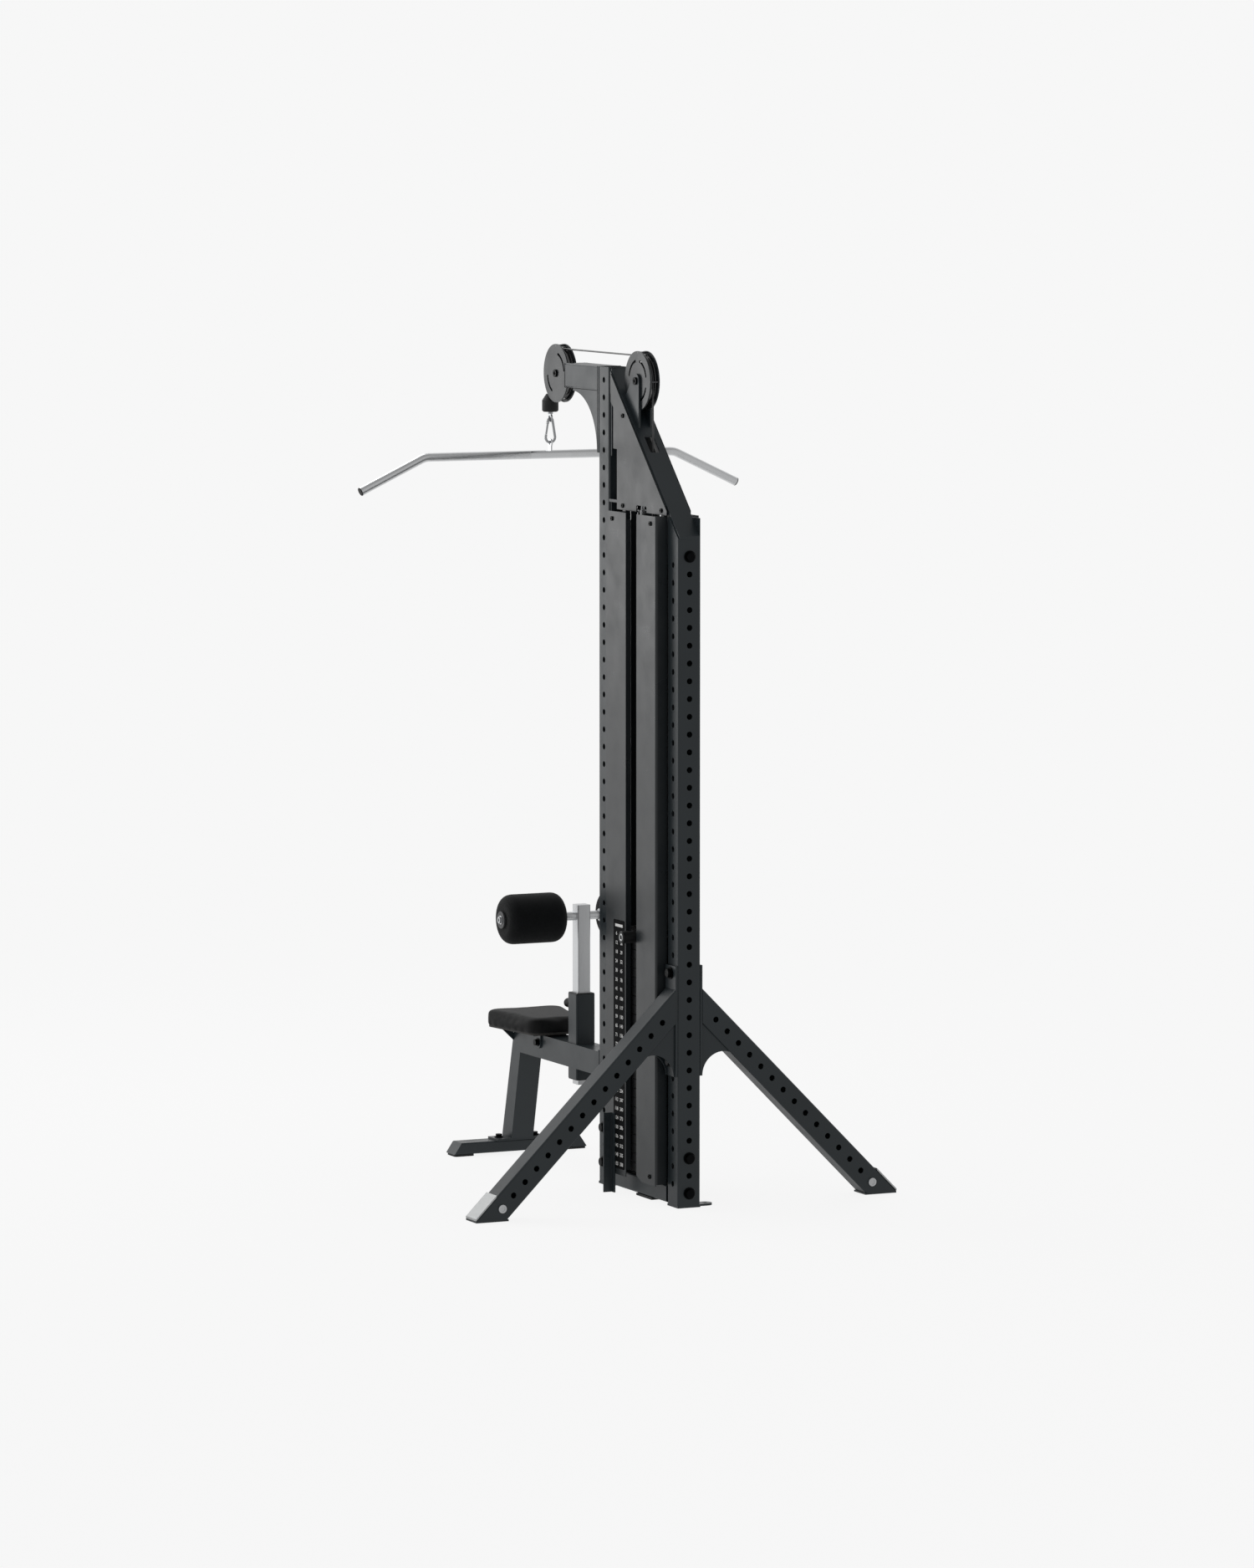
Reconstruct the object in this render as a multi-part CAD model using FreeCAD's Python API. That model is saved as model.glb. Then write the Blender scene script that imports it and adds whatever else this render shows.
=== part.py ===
import FreeCAD, Part
import math
import os

# Selectorised lat pulldown machine: a two-upright weight-stack tower with a cantilevered arm, a wide
# bar on a cable, a seat on a low beam and a height-adjustable thigh-roller post.
# Frame: +Z up, floor at Z = 0, X = 0 is the plane of symmetry, the user sits at -Y and faces +Y.
# All sizes are in millimetres.

V = FreeCAD.Vector
X_AXIS = V(1, 0, 0)
Y_AXIS = V(0, 1, 0)
Z_AXIS = V(0, 0, 1)

# ---- driving dimensions -----------------------------------------------------------------------
BACK = 601.5                # Y of the rear face of the rear upright
TUBE = 70.0                 # side of the square frame tube
HALF = TUBE / 2
WALL = 3.0
TUBE_CORNER = 6.0
PITCH = 50.0                # pitch of the hole lines in the frame tubes
HOLE_R = 8.5
BOLT_R = 8.0
FIRST_FACE_HOLE = 41.3      # lowest hole on the front and rear faces
FIRST_SIDE_HOLE = 66.3      # lowest hole on the side faces, half a pitch higher
FOOT_T = 6.0
ANCHOR_X = -66.0            # centre of the floor anchor hole beside the rear foot
ANCHOR_HOLE_R = 6.5

REAR_TOP = 1948.0
FRONT_TOP = 2353.0
FRONT_Y = BACK - 494.0      # axis of the front upright
REAR_Y = BACK - HALF        # axis of the rear upright
FRONT_REAR_FACE = FRONT_Y + HALF
FRONT_FRONT_FACE = FRONT_Y - HALF
REAR_FRONT_FACE = REAR_Y - HALF
FLANGE_T = 8.0

SLOPE_SUM = BACK + 1898.0   # the sloped brace's top face is the plane Y + Z = SLOPE_SUM
BRACE_HALF = 32.0
BRACE_T = 6.0
BRACE_UNDER = SLOPE_SUM - BRACE_T * math.sqrt(2)

BEAM_LOW = 7.0
BEAM_HIGH = 57.0

STACK_Y = BACK - 240.7      # weight stack axis, also the rear cable drop
PLATE_COUNT = 25            # plates under the head plate
PLATE_PITCH = 26.5
PLATE_T = 25.0
PLATE_HALF_X = 49.0
PLATE_HALF_Y = 150.0
FIRST_PIN_HOLE = 85.0
PIN_HOLE_R = 5.5
ROD_OFFSET = 74.0
GUIDE_ROD_R = 12.5
GUIDE_ROD_TOP = 2000.0
SELECTOR_R = 12.5
RUNNING = 0.05              # radial clearance of a running fit
HEAD_PIN_Z = FIRST_PIN_HOLE + PLATE_COUNT * PLATE_PITCH
HEAD_LOW = HEAD_PIN_Z - PLATE_T / 2
HEAD_HIGH = HEAD_PIN_Z + PLATE_T / 2
TOP_PLATE_LOW = 1971.0
TOP_PLATE_HIGH = 1979.0

PULLEY_Z = 2320.0
PULLEY_R = 76.0
PULLEY_HALF_W = 6.5
CABLE_R = 2.5
CABLE_WRAP_R = 71.0
REAR_PULLEY_Y = STACK_Y - CABLE_WRAP_R
FRONT_PULLEY_Y = BACK - 868.0
BAR_Y = FRONT_PULLEY_Y - CABLE_WRAP_R
DISC_R = 84.5
DISC_IN = 11.0
DISC_OUT = 15.0
EAR_IN = 15.2
EAR_OUT = 21.2
AXLE_R = 8.0
KEEPER_RADIUS = 80.0
TANG_HALF = 24.0
TANG_REACH = 90.0
# Angles from +Y towards +Z, in degrees, of the keeper pins and of the arc slits in the guard discs.
KEEPER_ANGLES = {REAR_PULLEY_Y: (0, 90), FRONT_PULLEY_Y: (90, 180)}
REAR_SLITS = ((15, 75), (105, 165), (-75, -20))
FRONT_SLITS = ((10, 75), (190, 242))
SLIT_INNER_R = 53.5
SLIT_OUTER_R = 61.0

ARM_LOW = 2284.0
ARM_HIGH = 2354.0
ARM_END_Y = BACK - 761.0

# Bolts are named by the number of their hole, counted up from the lowest one on that face.
BASE_BOLTS = (0, 2)
LEG_BOLTS = (12, 7)
ARM_BOLTS = (42, 44)
SEAT_FLANGE_BOLTS = (4, 5)
TOP_REAR_BOLT = 36
SADDLE_FRONT_BOLT = 38
SADDLE_T = 6.0

LEG_SUM = 614.5             # a leg's centreline is the line |X| + Z = LEG_SUM
LEG_FIRST_HOLE_X = 83.45
LEG_HOLES = 14
LEG_PLATE_T = 7.0
LEG_FOOT_T = 5.0

PANEL_X = 68.0
PANEL_T = 2.0
PANEL_LOW = 54.0
PANEL_HIGH = 1950.0
FRONT_PANEL = (BACK - 409.0, BACK - 277.0)
REAR_PANEL = (BACK - 206.0, BACK - 78.0)
PANEL_LIP = 16.0
LABEL_T = 0.8
PANEL_SCREWS = ((BACK - 368.0, 1929.0), (BACK - 114.0, 1929.0), (BACK - 392.0, 77.0), (BACK - 118.0, 77.0))
COVER_T = 3.0
COVER_LOW = 1953.0
TOP_COVER_SCREWS = ((BACK - 361.0, 1965.0), (BACK - 106.0, 1965.0), (BACK - 361.0, 2220.0))
SCREW_HOLE_R = 3.2

SEAT_BEAM_LOW = 311.0
SEAT_BEAM_HIGH = 381.0
SEAT_BEAM_FRONT = BACK - 1123.0
POST_Y = BACK - 725.0
POST_HALF = 20.0
POST_LOW = 261.0
POST_HIGH = 786.0
SLEEVE_HALF = 30.0
SLEEVE_INNER = 25.0
SLEEVE_LOW = 278.0
SLEEVE_HIGH = 526.0
PULL_PIN_Z = 488.0
ROLLER_Z = 753.0
ROLLER_R = 75.0
ROLLER_IN = 66.0
ROLLER_OUT = 255.0
ROLLER_AXLE_R = 12.5
SEAT_TOP = 437.0
SEAT_BOTTOM = 387.0
BOARD_T = 12.0
BOARD_INSET = 6.0
CROSSBAR_Y = BACK - 1184.5
CROSSBAR_LOW = 6.0
CROSSBAR_HIGH = 40.0

BAR_Z = 2081.0
BAR_R = 12.5
BAR_STRAIGHT = 398.0
BAR_TIP_X = 599.0
BAR_DROP_ANGLE = 25.0
HOOK_LOW_Z = 2116.0         # axis of the snap hook's wire at its lower end
HOOK_HIGH_Z = 2186.0
HOOK_WIRE_R = 4.0
STOPPER_LOW = 2205.0
STOPPER_HIGH = 2257.0
SWIVEL_STEM_R = 4.0
SWIVEL_STEM_HIGH = STOPPER_LOW + 20.0
GATE_HALF_T = 2.0
PIVOT_R = 1.5


# ---- helpers ----------------------------------------------------------------------------------
def save(name, shape):
    """Write one named piece to its own STEP file."""
    if shape.ShapeType == "Compound" and len(shape.Solids) == 1:
        shape = shape.Solids[0]
    if not shape.isValid():
        raise ValueError(name + " is not a valid shape")
    shape.exportStep("parts/" + name + ".step")


def box(x_range, y_range, z_range):
    return Part.makeBox(
        x_range[1] - x_range[0],
        y_range[1] - y_range[0],
        z_range[1] - z_range[0],
        V(x_range[0], y_range[0], z_range[0]),
    )


def rod(start, axis, radius, length):
    return Part.makeCylinder(radius, length, start, axis)


def rod_x(x_range, y, z, radius):
    return rod(V(x_range[0], y, z), X_AXIS, radius, x_range[1] - x_range[0])


def rod_y(x, y_range, z, radius):
    return rod(V(x, y_range[0], z), Y_AXIS, radius, y_range[1] - y_range[0])


def rod_z(x, y, z_range, radius):
    return rod(V(x, y, z_range[0]), Z_AXIS, radius, z_range[1] - z_range[0])


def ring(start, axis, outer, inner, length):
    return rod(start, axis, outer, length).cut(rod(start, axis, inner, length))


def fuse(shapes):
    joined = shapes[0].multiFuse(shapes[1:])
    return joined.removeSplitter()


def prism(points, axis, low, high):
    """Extrude an outline along an axis. Points are (Y, Z) for X, (X, Z) for Y and (X, Y) for Z."""
    if axis == "X":
        corners = [V(low, a, b) for a, b in points]
        travel = V(high - low, 0, 0)
    elif axis == "Y":
        corners = [V(a, low, b) for a, b in points]
        travel = V(0, high - low, 0)
    else:
        corners = [V(a, b, low) for a, b in points]
        travel = V(0, 0, high - low)
    return Part.Face(Part.makePolygon(corners + [corners[0]])).extrude(travel)


def round_edges(shape, direction, radius):
    """Round every straight edge of a prism that runs along the given direction."""
    edges = []
    for edge in shape.Edges:
        run = edge.Vertexes[-1].Point - edge.Vertexes[0].Point
        straight = edge.Curve.TypeId == "Part::GeomLine"
        if straight and run.Length > 1e-6 and abs(abs(run.normalize().dot(direction)) - 1) < 1e-6:
            edges.append(edge)
    return shape.makeFillet(radius, edges)


def square_tube(centre_a, centre_b, low, high, axis, half_a=HALF, half_b=HALF, wall=WALL):
    """Rounded square tube along an axis, hollow from end to end."""
    outer_points = []
    inner_points = []
    for sign_a, sign_b in ((-1, -1), (1, -1), (1, 1), (-1, 1)):
        outer_points.append((centre_a + sign_a * half_a, centre_b + sign_b * half_b))
        inner_points.append((centre_a + sign_a * (half_a - wall), centre_b + sign_b * (half_b - wall)))
    direction = {"X": X_AXIS, "Y": Y_AXIS, "Z": Z_AXIS}[axis]
    outer = round_edges(prism(outer_points, axis, low, high), direction, TUBE_CORNER)
    inner = round_edges(prism(inner_points, axis, low, high), direction, TUBE_CORNER - WALL)
    return outer.cut(inner)


def mirror_x(shape):
    return shape.mirror(V(0, 0, 0), X_AXIS)


def both_sides(shape):
    return Part.makeCompound([shape, mirror_x(shape)])


def clamp_bolt(head_point, direction, grip):
    """M16 bolt, washer and nut around a grip length. The washer bears on the face at head_point."""
    axis = V(direction)
    away = V(direction) * -1
    washer_t = 3.0
    head_h = 10.0
    nut_h = 10.0
    washer = rod(head_point, away, 17.0, washer_t)
    head = rod(head_point + away * washer_t, away, 13.0, head_h)
    shank = rod(head_point, axis, BOLT_R, grip + nut_h + 1.0)
    nut = rod(head_point + axis * grip, axis, 12.5, nut_h)
    bolt = fuse([washer, head, shank, nut])
    head_top = washer_t + head_h
    crown = [e for e in bolt.Edges if e.Curve.TypeId == "Part::GeomCircle"
             and abs((e.Curve.Center - head_point).dot(away) - head_top) < 1e-6]
    return bolt.makeFillet(3.0, crown)


def cap_screw(head_point, direction, radius, head_r, head_h, length):
    """Small button-head screw with a socket in its head."""
    axis = V(direction)
    away = V(direction) * -1
    head = rod(head_point, away, head_r, head_h)
    shank = rod(head_point, axis, radius, length)
    socket = rod(head_point + away * (head_h - head_h * 0.6), away, head_r * 0.45, head_h)
    return fuse([head, shank]).cut(socket)


def hole_line(count, first, pitch, make):
    return Part.makeCompound([make(first + i * pitch) for i in range(count)])


# ---- uprights and base ------------------------------------------------------------------------
def drilled_upright(centre_y, low, high, face_holes, side_holes):
    tube = square_tube(0, centre_y, low, high, "Z")
    faces = hole_line(face_holes, FIRST_FACE_HOLE, PITCH,
                      lambda z: rod_y(0, (centre_y - HALF - 1, centre_y + HALF + 1), z, HOLE_R))
    sides = hole_line(side_holes, FIRST_SIDE_HOLE, PITCH,
                      lambda z: rod_x((-HALF - 1, HALF + 1), centre_y, z, HOLE_R))
    return tube.cut(faces).cut(sides)


def rear_upright():
    """Rear upright with its welded foot plate. The top is mitred for the brace, but for one side wall."""
    upright = drilled_upright(REAR_Y, FOOT_T, REAR_TOP, 37, 36)
    over_slope = prism(
        [(REAR_FRONT_FACE - 1, BRACE_UNDER - REAR_FRONT_FACE + 1),
         (BACK + 1, BRACE_UNDER - BACK - 1),
         (BACK + 1, REAR_TOP + 60),
         (REAR_FRONT_FACE - 1, REAR_TOP + 60)],
        "X", -BRACE_HALF, HALF + 1)
    tab_r = 20.0
    foot = box((-HALF, HALF), (REAR_FRONT_FACE, BACK), (0, FOOT_T))
    tab = box((ANCHOR_X, 0), (REAR_Y - tab_r, REAR_Y + tab_r), (0, FOOT_T))
    tab_end = rod_z(ANCHOR_X, REAR_Y, (0, FOOT_T), tab_r)
    anchor_hole = rod_z(ANCHOR_X, REAR_Y, (-1, FOOT_T + 1), ANCHOR_HOLE_R)
    return fuse([upright.cut(over_slope), foot, tab, tab_end]).cut(anchor_hole)


def front_upright():
    """Front upright with its welded foot plate."""
    upright = drilled_upright(FRONT_Y, FOOT_T, FRONT_TOP, 46, 46)
    foot = box((-HALF - 2, HALF + 2), (FRONT_FRONT_FACE - 2, FRONT_REAR_FACE), (0, FOOT_T))
    return fuse([upright, round_edges(foot, Z_AXIS, TUBE_CORNER)])


def base_beam():
    low_y = FRONT_REAR_FACE + FLANGE_T
    high_y = REAR_FRONT_FACE - FLANGE_T
    middle = (BEAM_LOW + BEAM_HIGH) / 2
    tube = square_tube(0, middle, low_y, high_y, "Y", half_b=(BEAM_HIGH - BEAM_LOW) / 2)
    front = box((-30, 30), (FRONT_REAR_FACE, low_y), (BEAM_LOW, 190))
    rear = box((-30, 30), (high_y, REAR_FRONT_FACE), (BEAM_LOW, 175))
    beam = fuse([tube, front, rear])
    for k in BASE_BOLTS:
        z = FIRST_FACE_HOLE + k * PITCH
        beam = beam.cut(rod_y(0, (high_y - 1, REAR_FRONT_FACE + 1), z, HOLE_R))
    front_z = FIRST_FACE_HOLE + BASE_BOLTS[1] * PITCH
    return beam.cut(rod_y(0, (FRONT_REAR_FACE - 1, low_y + 1), front_z, HOLE_R))


def base_pad():
    """Low rounded pad under the middle of the base beam."""
    pad = box((-HALF, HALF), (BACK - 277, BACK - 172), (0, BEAM_LOW))
    return round_edges(pad, X_AXIS, 3.0)


def panel_foot_bracket():
    """Upright angle strip that stands on the floor beside the front shroud panel."""
    face_y = BACK - 361.0
    thick = 4.0
    high = 229.0
    near_x = PANEL_X + LABEL_T + 0.2
    outer = box((near_x, 98), (face_y - thick, face_y), (0, high))
    inner = box((near_x, near_x + thick), (face_y - thick, face_y + 17), (0, high))
    return fuse([outer, inner])


# ---- legs -------------------------------------------------------------------------------------
def leg():
    """Right-hand stabiliser leg, a weldment of tube, side flange, two gussets and foot plate."""
    reach = 700.0
    start = V(HALF - 20, REAR_Y, LEG_SUM - HALF + 20)
    tube = square_tube(0, 0, 0, reach * math.sqrt(2), "Z")
    holes = []
    step = PITCH / math.sqrt(2)
    for i in range(LEG_HOLES + 1):
        x = LEG_FIRST_HOLE_X + i * step
        holes.append(rod_y(x, (REAR_FRONT_FACE - 1, BACK + 1), LEG_SUM - x, HOLE_R))
    tube.rotate(V(0, 0, 0), Y_AXIS, 135)
    tube.translate(start)
    plate_x = HALF + LEG_PLATE_T
    room = box((plate_x, reach), (REAR_FRONT_FACE - 1, BACK + 1), (LEG_FOOT_T, 700))
    tube = tube.common(room).cut(Part.makeCompound(holes))
    flange = box((HALF, plate_x), (REAR_FRONT_FACE + 2, BACK - 2), (374, 688))
    under_sum = LEG_SUM - HALF * math.sqrt(2)
    gusset_outline = [(plate_x, 374), (150, 374), (150, under_sum - 150), (plate_x, under_sum - plate_x)]
    gussets = []
    for y in (BACK - 13, REAR_FRONT_FACE + 8):
        gusset = prism(gusset_outline, "Y", y, y + 5)
        gussets.append(gusset.cut(rod_y(plate_x + 68, (y - 1, y + 6), 374, 65.0)))
    foot = box((558, 657), (REAR_FRONT_FACE - 2, BACK), (0, LEG_FOOT_T))
    whole = fuse([tube, flange, foot] + gussets)
    for k in LEG_BOLTS:
        z = FIRST_SIDE_HOLE + k * PITCH
        whole = whole.cut(rod_x((HALF - 1, plate_x + 1), REAR_Y, z, HOLE_R))
    return whole


def leg_tip_cover():
    """Polished plate over the lower end of a leg's upper face."""
    start_x = 595.0
    end_x = 658.0
    top_sum = LEG_SUM + HALF * math.sqrt(2)
    outer_sum = top_sum + 4 * math.sqrt(2)
    outline = [(start_x, top_sum - start_x), (start_x, outer_sum - start_x),
               (end_x, outer_sum - end_x), (end_x, top_sum - end_x)]
    return prism(outline, "Y", REAR_FRONT_FACE, BACK)


def leg_badge_bolt():
    x = LEG_FIRST_HOLE_X + LEG_HOLES * PITCH / math.sqrt(2)
    z = LEG_SUM - x
    head = rod(V(x, BACK, z), Y_AXIS, 12.0, 5.0)
    shank = rod(V(x, BACK - 30, z), Y_AXIS, 8.0, 30.0)
    recess = rod(V(x, BACK + 3.5, z), Y_AXIS, 7.0, 5.0)
    return fuse([head, shank]).cut(recess)


# ---- top frame --------------------------------------------------------------------------------
def slope_band(depth_from, depth_to, x_range, y_range):
    """Part of the 45 degree slope between two depths, each measured along Z below the top face."""
    y_low, y_high = y_range
    top = SLOPE_SUM - depth_from
    low = SLOPE_SUM - depth_to
    return prism([(y_low, low - y_low), (y_high, low - y_high),
                  (y_high, top - y_high), (y_low, top - y_low)], "X", x_range[0], x_range[1])


def pulley_ear(x_low, x_high):
    """Side cheek that carries the rear pulley's axle."""
    radius = 21.0
    rear_y = REAR_PULLEY_Y + radius
    front_foot = REAR_PULLEY_Y - 66.0
    outline = [(rear_y, PULLEY_Z), (rear_y, SLOPE_SUM - rear_y), (front_foot, SLOPE_SUM - front_foot),
               (REAR_PULLEY_Y - radius * math.cos(math.radians(35)),
                PULLEY_Z + radius * math.sin(math.radians(35)))]
    cheek = prism(outline, "X", x_low, x_high)
    cheek = fuse([cheek, rod_x((x_low, x_high), REAR_PULLEY_Y, PULLEY_Z, radius)])
    return cheek.cut(rod_x((x_low - 1, x_high + 1), REAR_PULLEY_Y, PULLEY_Z, AXLE_R + 0.1))


def upper_brace():
    """Weldment of sloped plate, side skirts, both end flanges and the rear pulley's cheeks."""
    front_y = FRONT_REAR_FACE + FLANGE_T
    drop = BRACE_T * math.sqrt(2)
    plate = slope_band(0, drop, (-BRACE_HALF, BRACE_HALF), (front_y, BACK))
    slot = box((-15, 15), (STACK_Y - 32, STACK_Y + 17), (1900, 2500))
    slot = round_edges(slot, Z_AXIS, 4.0)
    disc_room = rod_x((-EAR_IN + 0.1, EAR_IN - 0.1), REAR_PULLEY_Y, PULLEY_Z, DISC_R + 2.0)
    skirt = slope_band(5, 69, (BRACE_HALF, HALF), (front_y, REAR_FRONT_FACE))
    side_weld = slope_band(5, drop, (BRACE_HALF - 3, BRACE_HALF), (front_y, REAR_FRONT_FACE))
    front_flange = box((-30, 30), (FRONT_REAR_FACE, front_y), (2102, FRONT_TOP - 3))
    rear_flange = box((-30, 30), (REAR_FRONT_FACE - FLANGE_T, REAR_FRONT_FACE),
                      (1800, BRACE_UNDER - REAR_FRONT_FACE + 4))
    below_deck = box((-HALF - 1, HALF + 1), (front_y, REAR_FRONT_FACE + 1), (1800, TOP_PLATE_HIGH))
    skirts = both_sides(fuse([skirt, side_weld])).cut(below_deck)
    sloped = fuse([plate] + skirts.Solids).cut(slot).cut(disc_room)
    whole = fuse([sloped, front_flange, rear_flange, pulley_ear(EAR_IN, EAR_OUT),
                  pulley_ear(-EAR_OUT, -EAR_IN)])
    holes = [rod_y(0, (FRONT_REAR_FACE - 1, front_y + 1), FIRST_FACE_HOLE + k * PITCH, HOLE_R)
             for k in ARM_BOLTS]
    rear_z = FIRST_FACE_HOLE + TOP_REAR_BOLT * PITCH
    holes.append(rod_y(0, (REAR_FRONT_FACE - FLANGE_T - 1, REAR_FRONT_FACE + 1), rear_z, HOLE_R))
    return whole.cut(Part.makeCompound(holes))


def top_cover():
    """Right-hand cover plate of the triangle under the slope. Its front edge is stepped twice."""
    step_low = 2124.0
    step_high = 2241.0
    front_low = BACK - 400.0
    front_middle = BACK - 425.0
    front_high = BACK - 442.0
    rear = BACK - 72.0
    slope = SLOPE_SUM - 5.0
    outline = [(front_low, COVER_LOW), (rear, COVER_LOW), (rear, slope - rear),
               (front_high, slope - front_high), (front_high, step_high + 15), (front_middle, step_high),
               (front_middle, step_low), (front_low, step_low)]
    plate = prism(outline, "X", HALF, HALF + COVER_T)
    notch = box((HALF - 1, HALF + COVER_T + 1), (STACK_Y - 30, STACK_Y + 38),
                (COVER_LOW - 30, COVER_LOW + 18))
    notch = round_edges(notch, X_AXIS, 6.0)
    holes = [rod_x((HALF - 1, HALF + COVER_T + 1), y, z, SCREW_HOLE_R) for y, z in TOP_COVER_SCREWS]
    return plate.cut(notch).cut(Part.makeCompound(holes))


def top_arm():
    """Cantilever arm: tube, two curved gusset plates and flange in one weldment."""
    flange_y = FRONT_FRONT_FACE - FLANGE_T
    tube = square_tube(0, (ARM_LOW + ARM_HIGH) / 2, ARM_END_Y, flange_y, "Y")
    flange = box((-HALF, HALF), (flange_y, FRONT_FRONT_FACE), (2107, ARM_HIGH))
    gusset_low = 2110.0
    gusset = box((HALF - 4, HALF), (BACK - 705, flange_y), (gusset_low, ARM_LOW + 4))
    gusset = gusset.cut(rod_x((0, HALF + 1), BACK - 708, gusset_low, 167.0))
    whole = fuse([tube, flange, gusset, mirror_x(gusset)])
    holes = [rod_y(0, (flange_y - 1, FRONT_FRONT_FACE + 1), FIRST_FACE_HOLE + k * PITCH, HOLE_R)
             for k in ARM_BOLTS]
    return whole.cut(Part.makeCompound(holes))


# ---- pulleys ----------------------------------------------------------------------------------
def arc_slit(centre_y, start_deg, end_deg, x_range):
    inner = SLIT_INNER_R
    outer = SLIT_OUTER_R
    middle = (inner + outer) / 2
    wedge = Part.makeCylinder(outer, x_range[1] - x_range[0], V(x_range[0], centre_y, PULLEY_Z), X_AXIS,
                              end_deg - start_deg)
    core = Part.makeCylinder(inner, x_range[1] - x_range[0], V(x_range[0], centre_y, PULLEY_Z), X_AXIS,
                             360)
    slit = wedge.cut(core)
    base_turn = start_deg - reference_turn()
    slit.rotate(V(0, centre_y, PULLEY_Z), X_AXIS, base_turn)
    ends = []
    for angle in (start_deg, end_deg):
        ends.append(rod_x(x_range, centre_y + middle * math.cos(math.radians(angle)),
                          PULLEY_Z + middle * math.sin(math.radians(angle)), (outer - inner) / 2))
    return fuse([slit] + ends)


def reference_turn():
    """Angle, from +Y towards +Z, at which a cylinder sector along X starts."""
    probe = Part.makeCylinder(10, 1, V(0, 0, 0), X_AXIS, 2)
    centre = probe.CenterOfMass
    return math.degrees(math.atan2(centre.z, centre.y)) - 1.0


def guard_disc(centre_y, x_range, slits, tang):
    disc = rod_x(x_range, centre_y, PULLEY_Z, DISC_R)
    if tang:
        disc = fuse([disc, box(x_range, (centre_y, ARM_END_Y + TANG_REACH),
                               (PULLEY_Z - TANG_HALF, PULLEY_Z + TANG_HALF))])
    cutters = [arc_slit(centre_y, a, b, (x_range[0] - 1, x_range[1] + 1)) for a, b in slits]
    cutters.append(rod_x((x_range[0] - 1, x_range[1] + 1), centre_y, PULLEY_Z, AXLE_R + 0.1))
    for angle in KEEPER_ANGLES[centre_y]:
        y, z = keeper_place(centre_y, angle)
        cutters.append(rod_x((x_range[0] - 1, x_range[1] + 1), y, z, 3.0))
    return disc.cut(Part.makeCompound(cutters))


def keeper_place(centre_y, angle):
    turn = math.radians(angle)
    return centre_y + KEEPER_RADIUS * math.cos(turn), PULLEY_Z + KEEPER_RADIUS * math.sin(turn)


def guard_discs(centre_y, slits, tang):
    return both_sides(guard_disc(centre_y, (DISC_IN, DISC_OUT), slits, tang))


def keeper_pins(centre_y):
    pins = []
    for angle in KEEPER_ANGLES[centre_y]:
        y, z = keeper_place(centre_y, angle)
        pins.append(rod_x((-DISC_OUT, DISC_OUT), y, z, 3.0))
    return Part.makeCompound(pins)


def front_fork():
    """Front guard discs, with tangs that run into the arm and the packing that ties them to it."""
    discs = guard_discs(FRONT_PULLEY_Y, FRONT_SLITS, True)
    packing_y = (ARM_END_Y + 20, ARM_END_Y + TANG_REACH)
    middle = box((-DISC_IN, DISC_IN), packing_y, (PULLEY_Z - TANG_HALF, PULLEY_Z + TANG_HALF))
    side = box((DISC_OUT, HALF - WALL), packing_y, (ARM_LOW + WALL, ARM_HIGH - WALL))
    side = round_edges(side, Y_AXIS, TUBE_CORNER - WALL + 0.5)
    return fuse(discs.Solids + [middle, side, mirror_x(side)])


def revolve_about_x(points, centre_y, centre_z):
    """Turn an outline of (x, radius) points about a line along X."""
    corners = [V(x, centre_y + r, centre_z) for x, r in points]
    face = Part.Face(Part.makePolygon(corners + [corners[0]]))
    return face.revolve(V(0, centre_y, centre_z), X_AXIS, 360)


def pulley(centre_y):
    w = PULLEY_HALF_W
    groove = CABLE_WRAP_R - CABLE_R - 0.3
    hub_r = 17.5
    points = [(-w, hub_r), (w, hub_r), (w, 26), (4, 30), (4, 56), (w, 60), (w, PULLEY_R),
              (5.5, PULLEY_R), (2.8, groove), (-2.8, groove), (-5.5, PULLEY_R), (-w, PULLEY_R),
              (-w, 60), (-4, 56), (-4, 30), (-w, 26)]
    return revolve_about_x(points, centre_y, PULLEY_Z)


def pulley_bearing(centre_y):
    return ring(V(-PULLEY_HALF_W, centre_y, PULLEY_Z), X_AXIS, 17.5, AXLE_R + RUNNING, 2 * PULLEY_HALF_W)


def pulley_axle(centre_y, reach):
    """Bolt through both discs, with a spacer ring each side of the bearing and a nut."""
    shank = rod_x((-reach, reach), centre_y, PULLEY_Z, AXLE_R)
    heads = [rod_x((reach, reach + 4.5), centre_y, PULLEY_Z, 11.0),
             rod_x((-reach - 7, -reach), centre_y, PULLEY_Z, 11.0)]
    spacers = [rod_x((PULLEY_HALF_W + 0.5, DISC_IN), centre_y, PULLEY_Z, 12.0),
               rod_x((-DISC_IN, -PULLEY_HALF_W - 0.5), centre_y, PULLEY_Z, 12.0)]
    axle = fuse([shank] + heads + spacers)
    return axle.cut(rod_x((reach + 2, reach + 6), centre_y, PULLEY_Z, 5.0))


# ---- weight stack -----------------------------------------------------------------------------
def stack_holes(z_low, z_high, rod_r, bore_r):
    cutters = [rod_z(0, STACK_Y + s * ROD_OFFSET, (z_low, z_high), rod_r) for s in (-1, 1)]
    cutters.append(rod_z(0, STACK_Y, (z_low, z_high), bore_r))
    return cutters


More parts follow.
